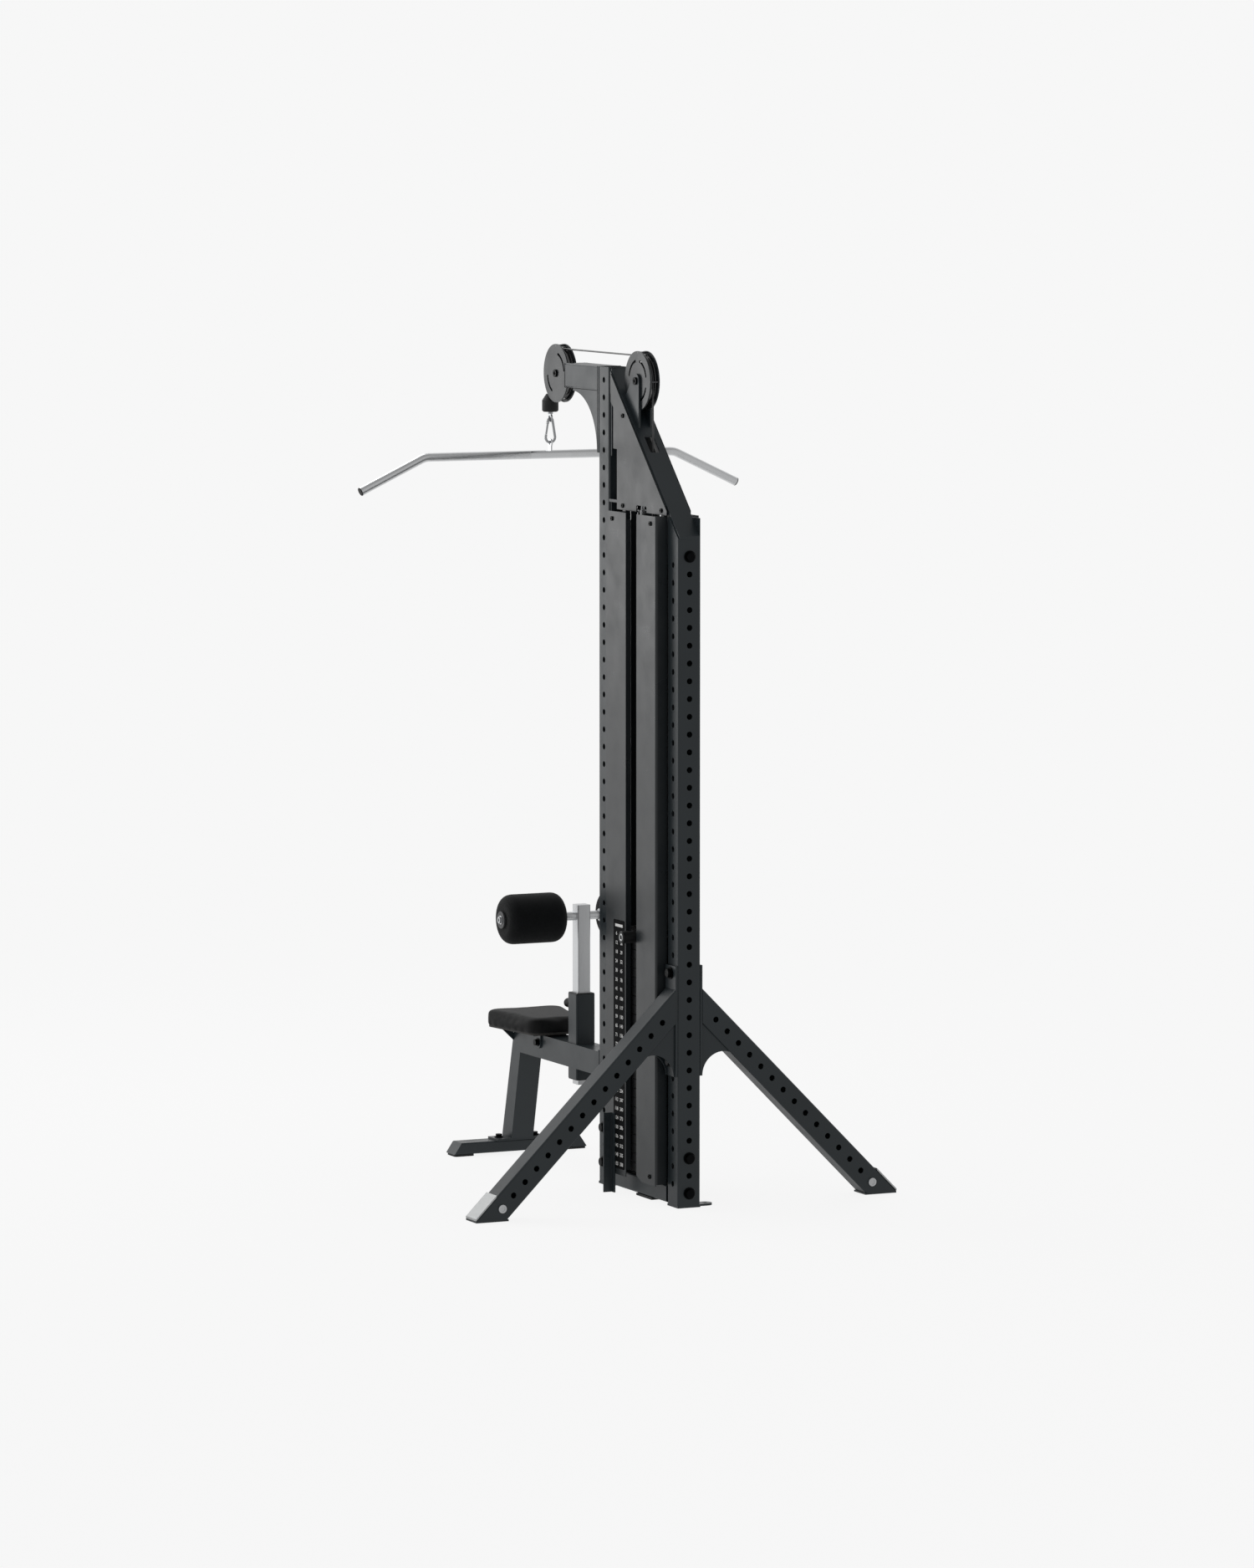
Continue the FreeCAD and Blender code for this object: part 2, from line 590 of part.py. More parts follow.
def weight_plate(pin_z):
    low = pin_z - PLATE_T / 2
    high = pin_z + PLATE_T / 2
    slab = box((-PLATE_HALF_X, PLATE_HALF_X), (STACK_Y - PLATE_HALF_Y, STACK_Y + PLATE_HALF_Y), (low, high))
    slab = round_edges(slab, Z_AXIS, 8.0)
    bosses = [rod_z(0, STACK_Y + side * ROD_OFFSET, (low - (PLATE_PITCH - PLATE_T), low), 22.0)
              for side in (-1, 1)]
    slab = fuse([slab] + bosses)
    cutters = stack_holes(low - 3, high + 1, 14.0, 15.0)
    cutters.append(rod_x((0, PLATE_HALF_X + 1), STACK_Y, pin_z, PIN_HOLE_R))
    return slab.cut(Part.makeCompound(cutters))


def weight_plates():
    first = weight_plate(FIRST_PIN_HOLE)
    plates = []
    for i in range(PLATE_COUNT):
        plate = first.copy()
        plate.translate(V(0, 0, i * PLATE_PITCH))
        plates.append(plate)
    return Part.makeCompound(plates)


def head_plate():
    slab = box((-PLATE_HALF_X, PLATE_HALF_X), (STACK_Y - PLATE_HALF_Y, STACK_Y + PLATE_HALF_Y),
               (HEAD_LOW, HEAD_HIGH))
    slab = round_edges(slab, Z_AXIS, 8.0)
    cutters = stack_holes(HEAD_LOW - 1, HEAD_HIGH + 1, 17.0, SELECTOR_R)
    cutters.append(rod_x((0, PLATE_HALF_X + 1), STACK_Y, HEAD_PIN_Z, PIN_HOLE_R))
    return slab.cut(Part.makeCompound(cutters))


def guide_bushings():
    rings = []
    for side in (-1, 1):
        y = STACK_Y + side * ROD_OFFSET
        sleeve = rod_z(0, y, (HEAD_LOW, HEAD_HIGH + 8), 17.0)
        collar = rod_z(0, y, (HEAD_HIGH, HEAD_HIGH + 8), 21.0)
        rings.append(fuse([sleeve, collar]).cut(rod_z(0, y, (HEAD_LOW - 1, HEAD_HIGH + 9),
                                                      GUIDE_ROD_R + RUNNING)))
    return Part.makeCompound(rings)


def selector_rod():
    stem = rod_z(0, STACK_Y, (BEAM_HIGH + 8, HEAD_HIGH), SELECTOR_R)
    holes = hole_line(PLATE_COUNT + 1, FIRST_PIN_HOLE, PLATE_PITCH,
                      lambda z: rod_x((-SELECTOR_R - 1, SELECTOR_R + 1), STACK_Y, z, PIN_HOLE_R))
    return stem.cut(holes)


def cable_adjuster():
    """Threaded terminal, lock nut and clevis that join the cable to the head plate."""
    stem = rod_z(0, STACK_Y, (HEAD_HIGH, HEAD_HIGH + 75), 8.0)
    nut = prism([(13.9 * math.cos(math.radians(60 * i)), STACK_Y + 13.9 * math.sin(math.radians(60 * i)))
                 for i in range(6)], "Z", HEAD_HIGH, HEAD_HIGH + 13)
    barrel = rod_z(0, STACK_Y, (HEAD_HIGH + 40, HEAD_HIGH + 70), 11.0)
    return fuse([stem, nut, barrel])


def selector_pin():
    """Weight selector pin with a round knob."""
    tip_x = -10.0
    root = PLATE_HALF_X + 7.0
    end = 101.0
    shaft = rod_x((tip_x, root), STACK_Y, HEAD_PIN_Z, PIN_HOLE_R - 0.4)
    collar = rod_x((PLATE_HALF_X + 0.5, root), STACK_Y, HEAD_PIN_Z, 9.0)
    knob = revolve_about_x([(root, 0), (root, 15), (root + 2, 17.5), (end - 2, 17.5), (end, 15.5),
                            (end, 12), (end - 3, 11), (end - 3, 0)], STACK_Y, HEAD_PIN_Z)
    return fuse([shaft, collar, knob])


def guide_rods():
    """Two polished rods, each with a collar that rests on the top saddle."""
    rods = []
    for side in (-1, 1):
        y = STACK_Y + side * ROD_OFFSET
        stem = rod_z(0, y, (BEAM_HIGH, GUIDE_ROD_TOP), GUIDE_ROD_R)
        collar = rod_z(0, y, (TOP_PLATE_HIGH, TOP_PLATE_HIGH + 14), 20.0)
        rods.append(fuse([stem, collar]))
    return Part.makeCompound(rods)


def stack_bumpers():
    top = FIRST_PIN_HOLE - PLATE_T / 2 - (PLATE_PITCH - PLATE_T)
    rings = [ring(V(0, STACK_Y + s * ROD_OFFSET, BEAM_HIGH), Z_AXIS, 18.0, GUIDE_ROD_R + 0.5,
                  top - BEAM_HIGH) for s in (-1, 1)]
    return Part.makeCompound(rings)


def guide_rod_top_plate():
    """Saddle between the uprights that holds the guide rods' upper ends."""
    front = FRONT_REAR_FACE
    rear = REAR_FRONT_FACE - FLANGE_T
    deck = box((-HALF, HALF), (front, rear), (TOP_PLATE_LOW, TOP_PLATE_HIGH))
    front_leg = box((-30, 30), (front, front + SADDLE_T), (1915, TOP_PLATE_LOW))
    rear_leg = box((-30, 30), (rear - SADDLE_T, rear), (1815, TOP_PLATE_LOW))
    saddle = fuse([deck, front_leg, rear_leg])
    cutters = [rod_z(0, STACK_Y + s * ROD_OFFSET, (TOP_PLATE_LOW - 1, TOP_PLATE_HIGH + 1), GUIDE_ROD_R)
               for s in (-1, 1)]
    cutters.append(box((-15, 15), (STACK_Y - 25, STACK_Y + 25), (TOP_PLATE_LOW - 1, TOP_PLATE_HIGH + 1)))
    cutters.append(rod_y(0, (front - 1, front + 7), FIRST_FACE_HOLE + SADDLE_FRONT_BOLT * PITCH,
                         HOLE_R))
    cutters.append(rod_y(0, (rear - 7, rear + 1), FIRST_FACE_HOLE + TOP_REAR_BOLT * PITCH, HOLE_R))
    cutters.append(slope_band(-100, BRACE_T * math.sqrt(2), (-HALF - 1, HALF + 1), (rear - 60, rear + 1)))
    return saddle.cut(Part.makeCompound(cutters))


# ---- shrouds and label ------------------------------------------------------------------------
def panel_holes():
    return Part.makeCompound([rod_x((PANEL_X - 5, PANEL_X + 5), y, z, SCREW_HOLE_R)
                              for y, z in PANEL_SCREWS])


def edge_lip(y_low):
    """Narrow inward flange along one upright edge of a panel."""
    return box((PANEL_X - PANEL_LIP, PANEL_X - PANEL_T), (y_low, y_low + PANEL_T),
               (PANEL_LOW + 20, PANEL_HIGH - 20))


def edge_return(y_low):
    """Inward flange that reaches from a panel to the side of the tower."""
    return box((HALF - 2, PANEL_X), (y_low, y_low + PANEL_T), (BEAM_HIGH + 1, PANEL_HIGH))


def panel_face(y_range):
    return box((PANEL_X - PANEL_T, PANEL_X), y_range, (PANEL_LOW, PANEL_HIGH))


def round_outer_bend(shell, y):
    """Round the bend between a panel's face and its return."""
    bend = [e for e in shell.Edges if e.BoundBox.ZLength > 1500
            and abs(e.BoundBox.XMin - PANEL_X) < 0.01
            and abs(e.BoundBox.YMax - y) < 0.01]
    return shell.makeFillet(6.0, bend)


def front_shroud_panel():
    front, rear = FRONT_PANEL
    return fuse([panel_face(FRONT_PANEL), edge_lip(front), edge_lip(rear - PANEL_T)]).cut(panel_holes())


def rear_shroud_panel():
    front, rear = REAR_PANEL
    low_corner = prism([(front - 1, PANEL_LOW - 1), (front + 40, PANEL_LOW - 1),
                        (front - 1, PANEL_LOW + 14)], "X", PANEL_X - 5, PANEL_X + 1)
    shell = fuse([panel_face(REAR_PANEL), edge_lip(front), edge_return(rear - PANEL_T)])
    return round_outer_bend(shell, rear).cut(low_corner).cut(panel_holes())


def closed_shroud_panel():
    """One-piece sheet of the left side, closed from the front upright to the rear one."""
    front = FRONT_REAR_FACE + 1.0
    rear = REAR_PANEL[1]
    shell = fuse([panel_face((front, rear)), edge_return(front), edge_return(rear - PANEL_T)])
    return mirror_x(round_outer_bend(round_outer_bend(shell, rear), front).cut(panel_holes()))


def shroud_bracket(y, z):
    """Angle bracket behind one panel screw, hung from the top saddle or stood on the base beam."""
    outer_x = PANEL_X - PANEL_T
    sheet = 3.0
    y_range = (y - 10, y + 10)
    if z > BEAM_HIGH + 100:
        tongue_high = PANEL_HIGH - 2.0
        neck = box((20, 30), y_range, (tongue_high - sheet, TOP_PLATE_LOW))
        tongue = box((20, outer_x), y_range, (tongue_high - sheet, tongue_high))
        tab = box((outer_x - sheet, outer_x), y_range, (z - 14, tongue_high))
        pieces = [neck, tongue, tab]
    else:
        tongue = box((24, outer_x), y_range, (BEAM_HIGH, BEAM_HIGH + sheet))
        tab = box((outer_x - sheet, outer_x), y_range, (BEAM_HIGH, z + 14))
        pieces = [tongue, tab]
    return fuse(pieces).cut(rod_x((outer_x - 5, outer_x + 1), y, z, 3.0))


def shroud_brackets():
    brackets = [shroud_bracket(y, z) for y, z in PANEL_SCREWS]
    return Part.makeCompound(brackets + [mirror_x(b) for b in brackets])


def cover_screws():
    """Button-head screws of the shroud panels and the top covers."""
    screws = []
    for y, z in PANEL_SCREWS:
        screws.append(cap_screw(V(PANEL_X, y, z), V(-1, 0, 0), 3.0, 6.5, 3.3, 8.0))
    for y, z in TOP_COVER_SCREWS:
        screws.append(cap_screw(V(HALF + COVER_T, y, z), V(-1, 0, 0), 3.0, 6.5, 3.3, COVER_T))
    return Part.makeCompound(screws + [mirror_x(s) for s in screws])


def weight_label():
    """Scale strip beside the stack, on the front shroud panel."""
    strip = box((PANEL_X, PANEL_X + LABEL_T), (BACK - 357, BACK - 284), (72, 787))
    return round_edges(strip, X_AXIS, 6.0)


# ---- seat -------------------------------------------------------------------------------------
def seat_frame():
    """Seat beam, leaning front leg, roller-post sleeve and end flange in one weldment."""
    flange_y = FRONT_FRONT_FACE - FLANGE_T
    leg_low = 46.0
    outline = [(flange_y, SEAT_BEAM_LOW), (flange_y, SEAT_BEAM_HIGH), (SEAT_BEAM_FRONT, SEAT_BEAM_HIGH),
               (BACK - 1210, leg_low + 8), (BACK - 1210, leg_low), (BACK - 1144, leg_low),
               (BACK - 1081, SEAT_BEAM_LOW)]
    body = round_edges(prism(outline, "X", -HALF, HALF), X_AXIS, 0.5)
    beam_core = box((-HALF + WALL, HALF - WALL), (BACK - 1070, flange_y + 1),
                    (SEAT_BEAM_LOW + WALL, SEAT_BEAM_HIGH - WALL))
    leg_core = prism([(BACK - 1087, SEAT_BEAM_LOW - 6), (BACK - 1134, SEAT_BEAM_LOW - 6),
                      (BACK - 1202, leg_low + 4), (BACK - 1147, leg_low + 4)],
                     "X", -HALF + WALL, HALF - WALL)
    body = body.cut(beam_core).cut(leg_core)
    sleeve = box((-SLEEVE_HALF, SLEEVE_HALF), (POST_Y - SLEEVE_HALF, POST_Y + SLEEVE_HALF),
                 (SLEEVE_LOW, SLEEVE_HIGH))
    sleeve = round_edges(sleeve, Z_AXIS, 5.0)
    inner = box((-SLEEVE_INNER, SLEEVE_INNER), (POST_Y - SLEEVE_INNER, POST_Y + SLEEVE_INNER),
                (SLEEVE_LOW - 1, SLEEVE_HIGH + 1))
    flange = box((-HALF, HALF), (flange_y, FRONT_FRONT_FACE), (SEAT_BEAM_LOW - 95, SEAT_BEAM_HIGH + 5))
    foot = box((-80, 80), (BACK - 1214, BACK - 1144), (leg_low - 6, leg_low))
    whole = fuse([body, sleeve, flange, foot]).cut(inner)
    cutters = [rod_y(0, (POST_Y - SLEEVE_HALF - 1, POST_Y), PULL_PIN_Z, 8.0)]
    cutters += [rod_y(0, (flange_y - 1, FRONT_FRONT_FACE + 1), FIRST_FACE_HOLE + k * PITCH, HOLE_R)
                for k in SEAT_FLANGE_BOLTS]
    cutters += [rod_z(s * 58, CROSSBAR_Y, (leg_low - 7, leg_low + 1), 6.5) for s in (-1, 1)]
    cutters.append(rod_x((-HALF - 1, HALF + 1), BACK - 944, 358, 6.2))
    return whole.cut(Part.makeCompound(cutters))


def front_crossbar():
    half_depth = 31.5
    outline = [(-215, CROSSBAR_LOW), (215, CROSSBAR_LOW), (192, CROSSBAR_HIGH), (-192, CROSSBAR_HIGH)]
    bar = prism(outline, "Y", CROSSBAR_Y - half_depth, CROSSBAR_Y + half_depth)
    bar = round_edges(bar, X_AXIS, 4.0)
    core = box((-180, 180), (CROSSBAR_Y - half_depth + 3, CROSSBAR_Y + half_depth - 3),
               (CROSSBAR_LOW + 3, CROSSBAR_HIGH - 3))
    holes = [rod_z(s * 58, CROSSBAR_Y, (CROSSBAR_HIGH - 5, CROSSBAR_HIGH + 1), 6.5) for s in (-1, 1)]
    return bar.cut(core).cut(Part.makeCompound(holes))


def crossbar_pads():
    pad = box((150, 213), (CROSSBAR_Y - 30, CROSSBAR_Y + 30), (0, CROSSBAR_LOW))
    return both_sides(round_edges(pad, Z_AXIS, 8.0))


def crossbar_bolts():
    bolts = []
    for side in (-1, 1):
        head = rod_z(side * 58, CROSSBAR_Y, (46, 48.5), 13.0)
        hexagon = rod_z(side * 58, CROSSBAR_Y, (48.5, 56), 9.5)
        shank = rod_z(side * 58, CROSSBAR_Y, (20, 46), 6.0)
        nut = rod_z(side * 58, CROSSBAR_Y, (25, 36.9), 10.0)
        bolts.append(fuse([head, hexagon, shank, nut]))
    return Part.makeCompound(bolts)


def seat_outline(grow):
    """Half of the seat's plan outline, wide at the front and narrow at the rear."""
    front_y = BACK - 1155.0 - grow
    rear_y = BACK - 865.0 + grow
    return [(-128 - grow, front_y), (128 + grow, front_y), (88 + grow, rear_y), (-88 - grow, rear_y)]


def seat_pad():
    """Upholstered cushion, hollowed below for the board that it wraps."""
    pad = round_edges(prism(seat_outline(0), "Z", SEAT_BOTTOM, SEAT_TOP), Z_AXIS, 38.0)
    for level, radius in ((SEAT_TOP, 10.0), (SEAT_BOTTOM, 2.0)):
        edges = [e for e in pad.Edges if abs(e.BoundBox.ZMin - level) < 0.01 and e.BoundBox.ZLength < 0.01]
        pad = pad.makeFillet(radius, edges)
    clearance = 0.3
    recess = prism(seat_outline(clearance - BOARD_INSET), "Z", SEAT_BOTTOM - 1,
                   SEAT_BOTTOM + BOARD_T + clearance)
    return pad.cut(round_edges(recess, Z_AXIS, 34.0))


def seat_board():
    return round_edges(prism(seat_outline(-BOARD_INSET), "Z", SEAT_BOTTOM, SEAT_BOTTOM + BOARD_T),
                       Z_AXIS, 34.0)


def seat_bracket():
    """Steel carrier that clamps the seat board to the beam."""
    deck = box((-60, 60), (BACK - 1115, BACK - 915), (SEAT_BEAM_HIGH, SEAT_BOTTOM))
    ears = []
    for x in (HALF, -HALF - 5):
        ear = fuse([box((x, x + 5), (BACK - 962, BACK - 926), (358, SEAT_BEAM_HIGH + 3)),
                    rod_x((x, x + 5), BACK - 944, 358, 18.0)])
        ears.append(ear)
    wing = prism([(HALF, 342), (82, SEAT_BOTTOM), (HALF, SEAT_BOTTOM)], "Y", BACK - 1133, BACK - 1128)
    wing_base = box((HALF, 82), (BACK - 1133, BACK - 1090), (SEAT_BOTTOM - 4, SEAT_BOTTOM))
    bridge = box((-40, 40), (BACK - 1120, BACK - 1090), (SEAT_BEAM_HIGH, SEAT_BOTTOM))
    whole = fuse([deck, bridge] + ears + [wing, wing_base, mirror_x(wing), mirror_x(wing_base)])
    return whole.cut(rod_x((-HALF - 6, HALF + 6), BACK - 944, 358, 6.2))


def seat_bolts():
    """Cross bolt through beam and bracket, and four screws up into the seat board."""
    x = HALF + 5
    cross = fuse([rod_x((-x - 9, x), BACK - 944, 358, 6.0),
                  rod_x((x, x + 2), BACK - 944, 358, 12.0),
                  rod_x((x + 2, x + 11), BACK - 944, 358, 9.0),
                  rod_x((-x - 9, -x), BACK - 944, 358, 9.0)])
    screws = []
    for sx in (-1, 1):
        for y in (BACK - 1070, BACK - 940):
            screws.append(fuse([rod_z(sx * 50, y, (377.5, SEAT_BEAM_HIGH), 6.0),
                                rod_z(sx * 50, y, (SEAT_BEAM_HIGH, SEAT_BOTTOM + 10), 3.0)]))
    return cross, screws


# ---- roller post ------------------------------------------------------------------------------
def sleeve_bushings():
    """Plastic liners at both ends of the sleeve."""
    liners = []
    for body_z, rim_z in (((SLEEVE_LOW, SLEEVE_LOW + 35), (SLEEVE_LOW - 3, SLEEVE_LOW)),
                          ((SLEEVE_HIGH - 22, SLEEVE_HIGH), (SLEEVE_HIGH, SLEEVE_HIGH + 3))):
        body = post_square(SLEEVE_INNER, body_z)
        rim = post_square(SLEEVE_HALF - 2, rim_z)
        bore = post_square(POST_HALF + RUNNING, (rim_z[0] - 40, rim_z[1] + 40))
        liners.append(fuse([body, rim]).cut(bore))
    return Part.makeCompound(liners)


def post_square(half, z_range):
    return box((-half, half), (POST_Y - half, POST_Y + half), z_range)


def roller_post():
    outer = round_edges(box((-POST_HALF, POST_HALF), (POST_Y - POST_HALF, POST_Y + POST_HALF),
                            (POST_LOW, POST_HIGH)), Z_AXIS, 3.0)
    inner = box((-POST_HALF + 3, POST_HALF - 3), (POST_Y - POST_HALF + 3, POST_Y + POST_HALF - 3),
                (POST_LOW - 1, POST_HIGH - 6))
    post = outer.cut(inner)
    holes = [rod_y(0, (POST_Y - POST_HALF - 1, POST_Y - POST_HALF + 4), PULL_PIN_Z + k * PITCH, 5.5)
             for k in range(-1, 4)]
    holes.append(rod_x((-POST_HALF - 1, POST_HALF + 1), POST_Y, ROLLER_Z, ROLLER_AXLE_R))
    return post.cut(Part.makeCompound(holes))


def pull_pin_housing():
    shell = ring(V(0, POST_Y - SLEEVE_HALF - 32, PULL_PIN_Z), Y_AXIS, 11.0, 5.1, 32.0)
    thread = ring(V(0, POST_Y - SLEEVE_HALF, PULL_PIN_Z), Y_AXIS, 8.0, 5.1, 5.0)
    return fuse([shell, thread])


def pull_pin():
    nose_y = POST_Y - POST_HALF - 0.5
    shaft = rod_y(0, (POST_Y - SLEEVE_HALF - 50, nose_y), PULL_PIN_Z, 5.05)
    knob_back = POST_Y - SLEEVE_HALF - 33
    knob = rod_y(0, (knob_back - 34, knob_back), PULL_PIN_Z, 13.5)
    knob = knob.makeFillet(4.0, [e for e in knob.Edges if e.Curve.TypeId == "Part::GeomCircle"])
    return fuse([shaft, knob])


def roller_axle():
    return rod_x((-ROLLER_OUT - 3, ROLLER_OUT + 3), POST_Y, ROLLER_Z, ROLLER_AXLE_R).cut(
        Part.makeCompound([rod_x((ROLLER_OUT - 22, ROLLER_OUT + 4), POST_Y, ROLLER_Z, 4.0),
                           rod_x((-ROLLER_OUT - 4, -ROLLER_OUT + 22), POST_Y, ROLLER_Z, 4.0)]))


def axle_collars():
    """Chrome collars between the post and the rollers."""
    collar = ring(V(ROLLER_IN - 9, POST_Y, ROLLER_Z), X_AXIS, 18.0, ROLLER_AXLE_R, 8.0)
    return both_sides(collar)


def axle_end_bolts():
    head = rod_x((ROLLER_OUT + 3, ROLLER_OUT + 8), POST_Y, ROLLER_Z, 10.0)
    shank = rod_x((ROLLER_OUT - 20, ROLLER_OUT + 3), POST_Y, ROLLER_Z, 4.0)
    socket = rod_x((ROLLER_OUT + 5, ROLLER_OUT + 9), POST_Y, ROLLER_Z, 4.5)
    return both_sides(fuse([head, shank]).cut(socket))


def roller_foam():
    foam = rod_x((ROLLER_IN, ROLLER_OUT - 3), POST_Y, ROLLER_Z, ROLLER_R)
    foam = foam.makeFillet(30.0, [e for e in foam.Edges if e.Curve.TypeId == "Part::GeomCircle"])
    return foam.cut(rod_x((ROLLER_IN - 1, ROLLER_OUT + 1), POST_Y, ROLLER_Z, 16.5))


def roller_hub():
    """Turned core tube of a roller with its outer end disc."""
    core = rod_x((ROLLER_IN, ROLLER_OUT), POST_Y, ROLLER_Z, 16.0)
    disc = rod_x((ROLLER_OUT - 2.5, ROLLER_OUT + 2), POST_Y, ROLLER_Z, 25.0)
    return fuse([core, disc]).cut(rod_x((ROLLER_IN - 1, ROLLER_OUT + 3), POST_Y, ROLLER_Z,
                                        ROLLER_AXLE_R + RUNNING))


# ---- cable, hook and bar ----------------------------------------------------------------------
def pipe(edges, radius, normal):
    """Round bar swept along a smooth run of edges that starts at the first edge's first point."""
    path = Part.Wire(edges)
    start = edges[0].valueAt(edges[0].FirstParameter)
    profile = Part.Wire(Part.makeCircle(radius, start, normal))
    return path.makePipeShell([profile], True, True)


def arc_yz(centre_y, centre_z, radius, start_deg, end_deg, x=0.0):
    def at(angle):
        turn = math.radians(angle)
        return V(x, centre_y + radius * math.cos(turn), centre_z + radius * math.sin(turn))
    return Part.Arc(at(start_deg), at((start_deg + end_deg) / 2), at(end_deg)).toShape()


def cable_over_pulleys():
    rise = arc_yz(REAR_PULLEY_Y, PULLEY_Z, CABLE_WRAP_R, 0, 90)
    top_z = PULLEY_Z + CABLE_WRAP_R
    run = Part.makeLine(V(0, REAR_PULLEY_Y, top_z), V(0, FRONT_PULLEY_Y, top_z))
    fall = arc_yz(FRONT_PULLEY_Y, PULLEY_Z, CABLE_WRAP_R, 90, 180)
    return pipe([rise, run, fall], CABLE_R, Z_AXIS)


def cable_bar_drop():
    return rod_z(0, BAR_Y, (STOPPER_HIGH, PULLEY_Z), CABLE_R)


def cable_stack_drop():
    return rod_z(0, STACK_Y, (HEAD_HIGH + 75, PULLEY_Z), CABLE_R)


def cable_stopper():
    """Rubber ball stop with a coned top that clears the guard discs."""
    points = [(0, STOPPER_LOW), (20, STOPPER_LOW), (24, STOPPER_LOW + 4), (24, 2238), (12, STOPPER_HIGH),
              (0, STOPPER_HIGH)]
    corners = [V(r, BAR_Y, z) for r, z in points]
    face = Part.Face(Part.makePolygon(corners + [corners[0]]))
    ball = face.revolve(V(0, BAR_Y, 0), Z_AXIS, 360)
    return ball.cut(rod_z(0, BAR_Y, (STOPPER_LOW - 1, SWIVEL_STEM_HIGH + 1), SWIVEL_STEM_R + RUNNING))


def eye_plate(hole_z, end_z):
    """Flat tab, square to X, with a round hole at hole_z and a shank that runs to end_z."""
    half_t = 2.5
    lug = rod_x((-half_t, half_t), BAR_Y, hole_z, 12.0)
    shank = box((-half_t, half_t), (BAR_Y - 8, BAR_Y + 8), (min(hole_z, end_z), max(hole_z, end_z)))
    return fuse([lug, shank]).cut(rod_x((-half_t - 1, half_t + 1), BAR_Y, hole_z, 7.0))


def swivel_eye():
    """Eye whose stem turns inside the stopper."""
    collar = rod_z(0, BAR_Y, (HOOK_HIGH_Z + 13, STOPPER_LOW - 0.5), 8.0)
    stem = rod_z(0, BAR_Y, (STOPPER_LOW - 1, SWIVEL_STEM_HIGH), SWIVEL_STEM_R)
    return fuse([collar, stem, eye_plate(HOOK_HIGH_Z + 1, HOOK_HIGH_Z + 14)])


def hook_profile():
    """Centreline sizes of the pear-shaped snap hook: lower and upper radius and the two centres."""
    low_r = 14.8
    high_r = 7.0
    low_centre = HOOK_LOW_Z + low_r
    high_centre = HOOK_HIGH_Z - high_r
    tilt = math.asin((low_r - high_r) / (high_centre - low_centre))
    return low_r, high_r, low_centre, high_centre, tilt


def hook_side(side):
    """Lower and upper tangent points of one straight side of the hook."""
    low_r, high_r, low_centre, high_centre, tilt = hook_profile()
    low = V(side * low_r * math.cos(tilt), BAR_Y, low_centre + low_r * math.sin(tilt))
    high = V(side * high_r * math.cos(tilt), BAR_Y, high_centre + high_r * math.sin(tilt))
    return low, high


def gate_line():
    """Lower end, pivot and direction of the gate, which closes the hook's right side."""
    low, high = hook_side(1)
    run = high - low
    return low + run * 0.12, low + run * 0.86, V(run).normalize()


def snap_hook():
    """Bent-wire hook with a fork and pin for its gate."""
    low_r, high_r, low_centre, high_centre, tilt = hook_profile()
    left_low, left_high = hook_side(-1)
    right_low, right_high = hook_side(1)
    gate_low, pivot, up = gate_line()
    fork_high = pivot + up * 6.0
    stub_low = Part.makeLine(gate_low, right_low)
    bottom = Part.Arc(right_low, V(0, BAR_Y, low_centre - low_r), left_low).toShape()
    side = Part.makeLine(left_low, left_high)
    top = Part.Arc(left_high, V(0, BAR_Y, high_centre + high_r), right_high).toShape()
    stub_high = Part.makeLine(right_high, fork_high)
    wire = pipe([stub_low, bottom, side, top, stub_high], HOOK_WIRE_R, up)
    fork = rod(pivot - up * 4.0, up, HOOK_WIRE_R, 10.0)
    slot_half = GATE_HALF_T + 0.2
    slot = prism([(-8, -8), (8, -8), (8, 4.2), (-8, 4.2)], "Y", BAR_Y - slot_half, BAR_Y + slot_half)
    slot.translate(V(pivot.x, 0, pivot.z))
    pin = rod_y(pivot.x, (BAR_Y - HOOK_WIRE_R, BAR_Y + HOOK_WIRE_R), pivot.z, PIVOT_R)
    return fuse([wire, fork.cut(slot), pin])


def hook_gate():
    """Spring gate: round bar with a flat knuckle on the pivot pin."""
    low, pivot, up = gate_line()
    gate_r = HOOK_WIRE_R - 0.8
    bar = rod(low + up * 0.6, up, gate_r, (pivot - low).Length - 7.6)
    tongue = rod(pivot - up * 8.0, up, gate_r, 8.0)
    flat = box((pivot.x - 9, pivot.x + 9), (BAR_Y - GATE_HALF_T, BAR_Y + GATE_HALF_T),
               (pivot.z - 12, pivot.z + 5))
    knuckle = rod_y(pivot.x, (BAR_Y - GATE_HALF_T, BAR_Y + GATE_HALF_T), pivot.z, gate_r)
    gate = fuse([bar, tongue.common(flat), knuckle])
    return gate.cut(rod_y(pivot.x, (BAR_Y - 3, BAR_Y + 3), pivot.z, PIVOT_R + RUNNING))


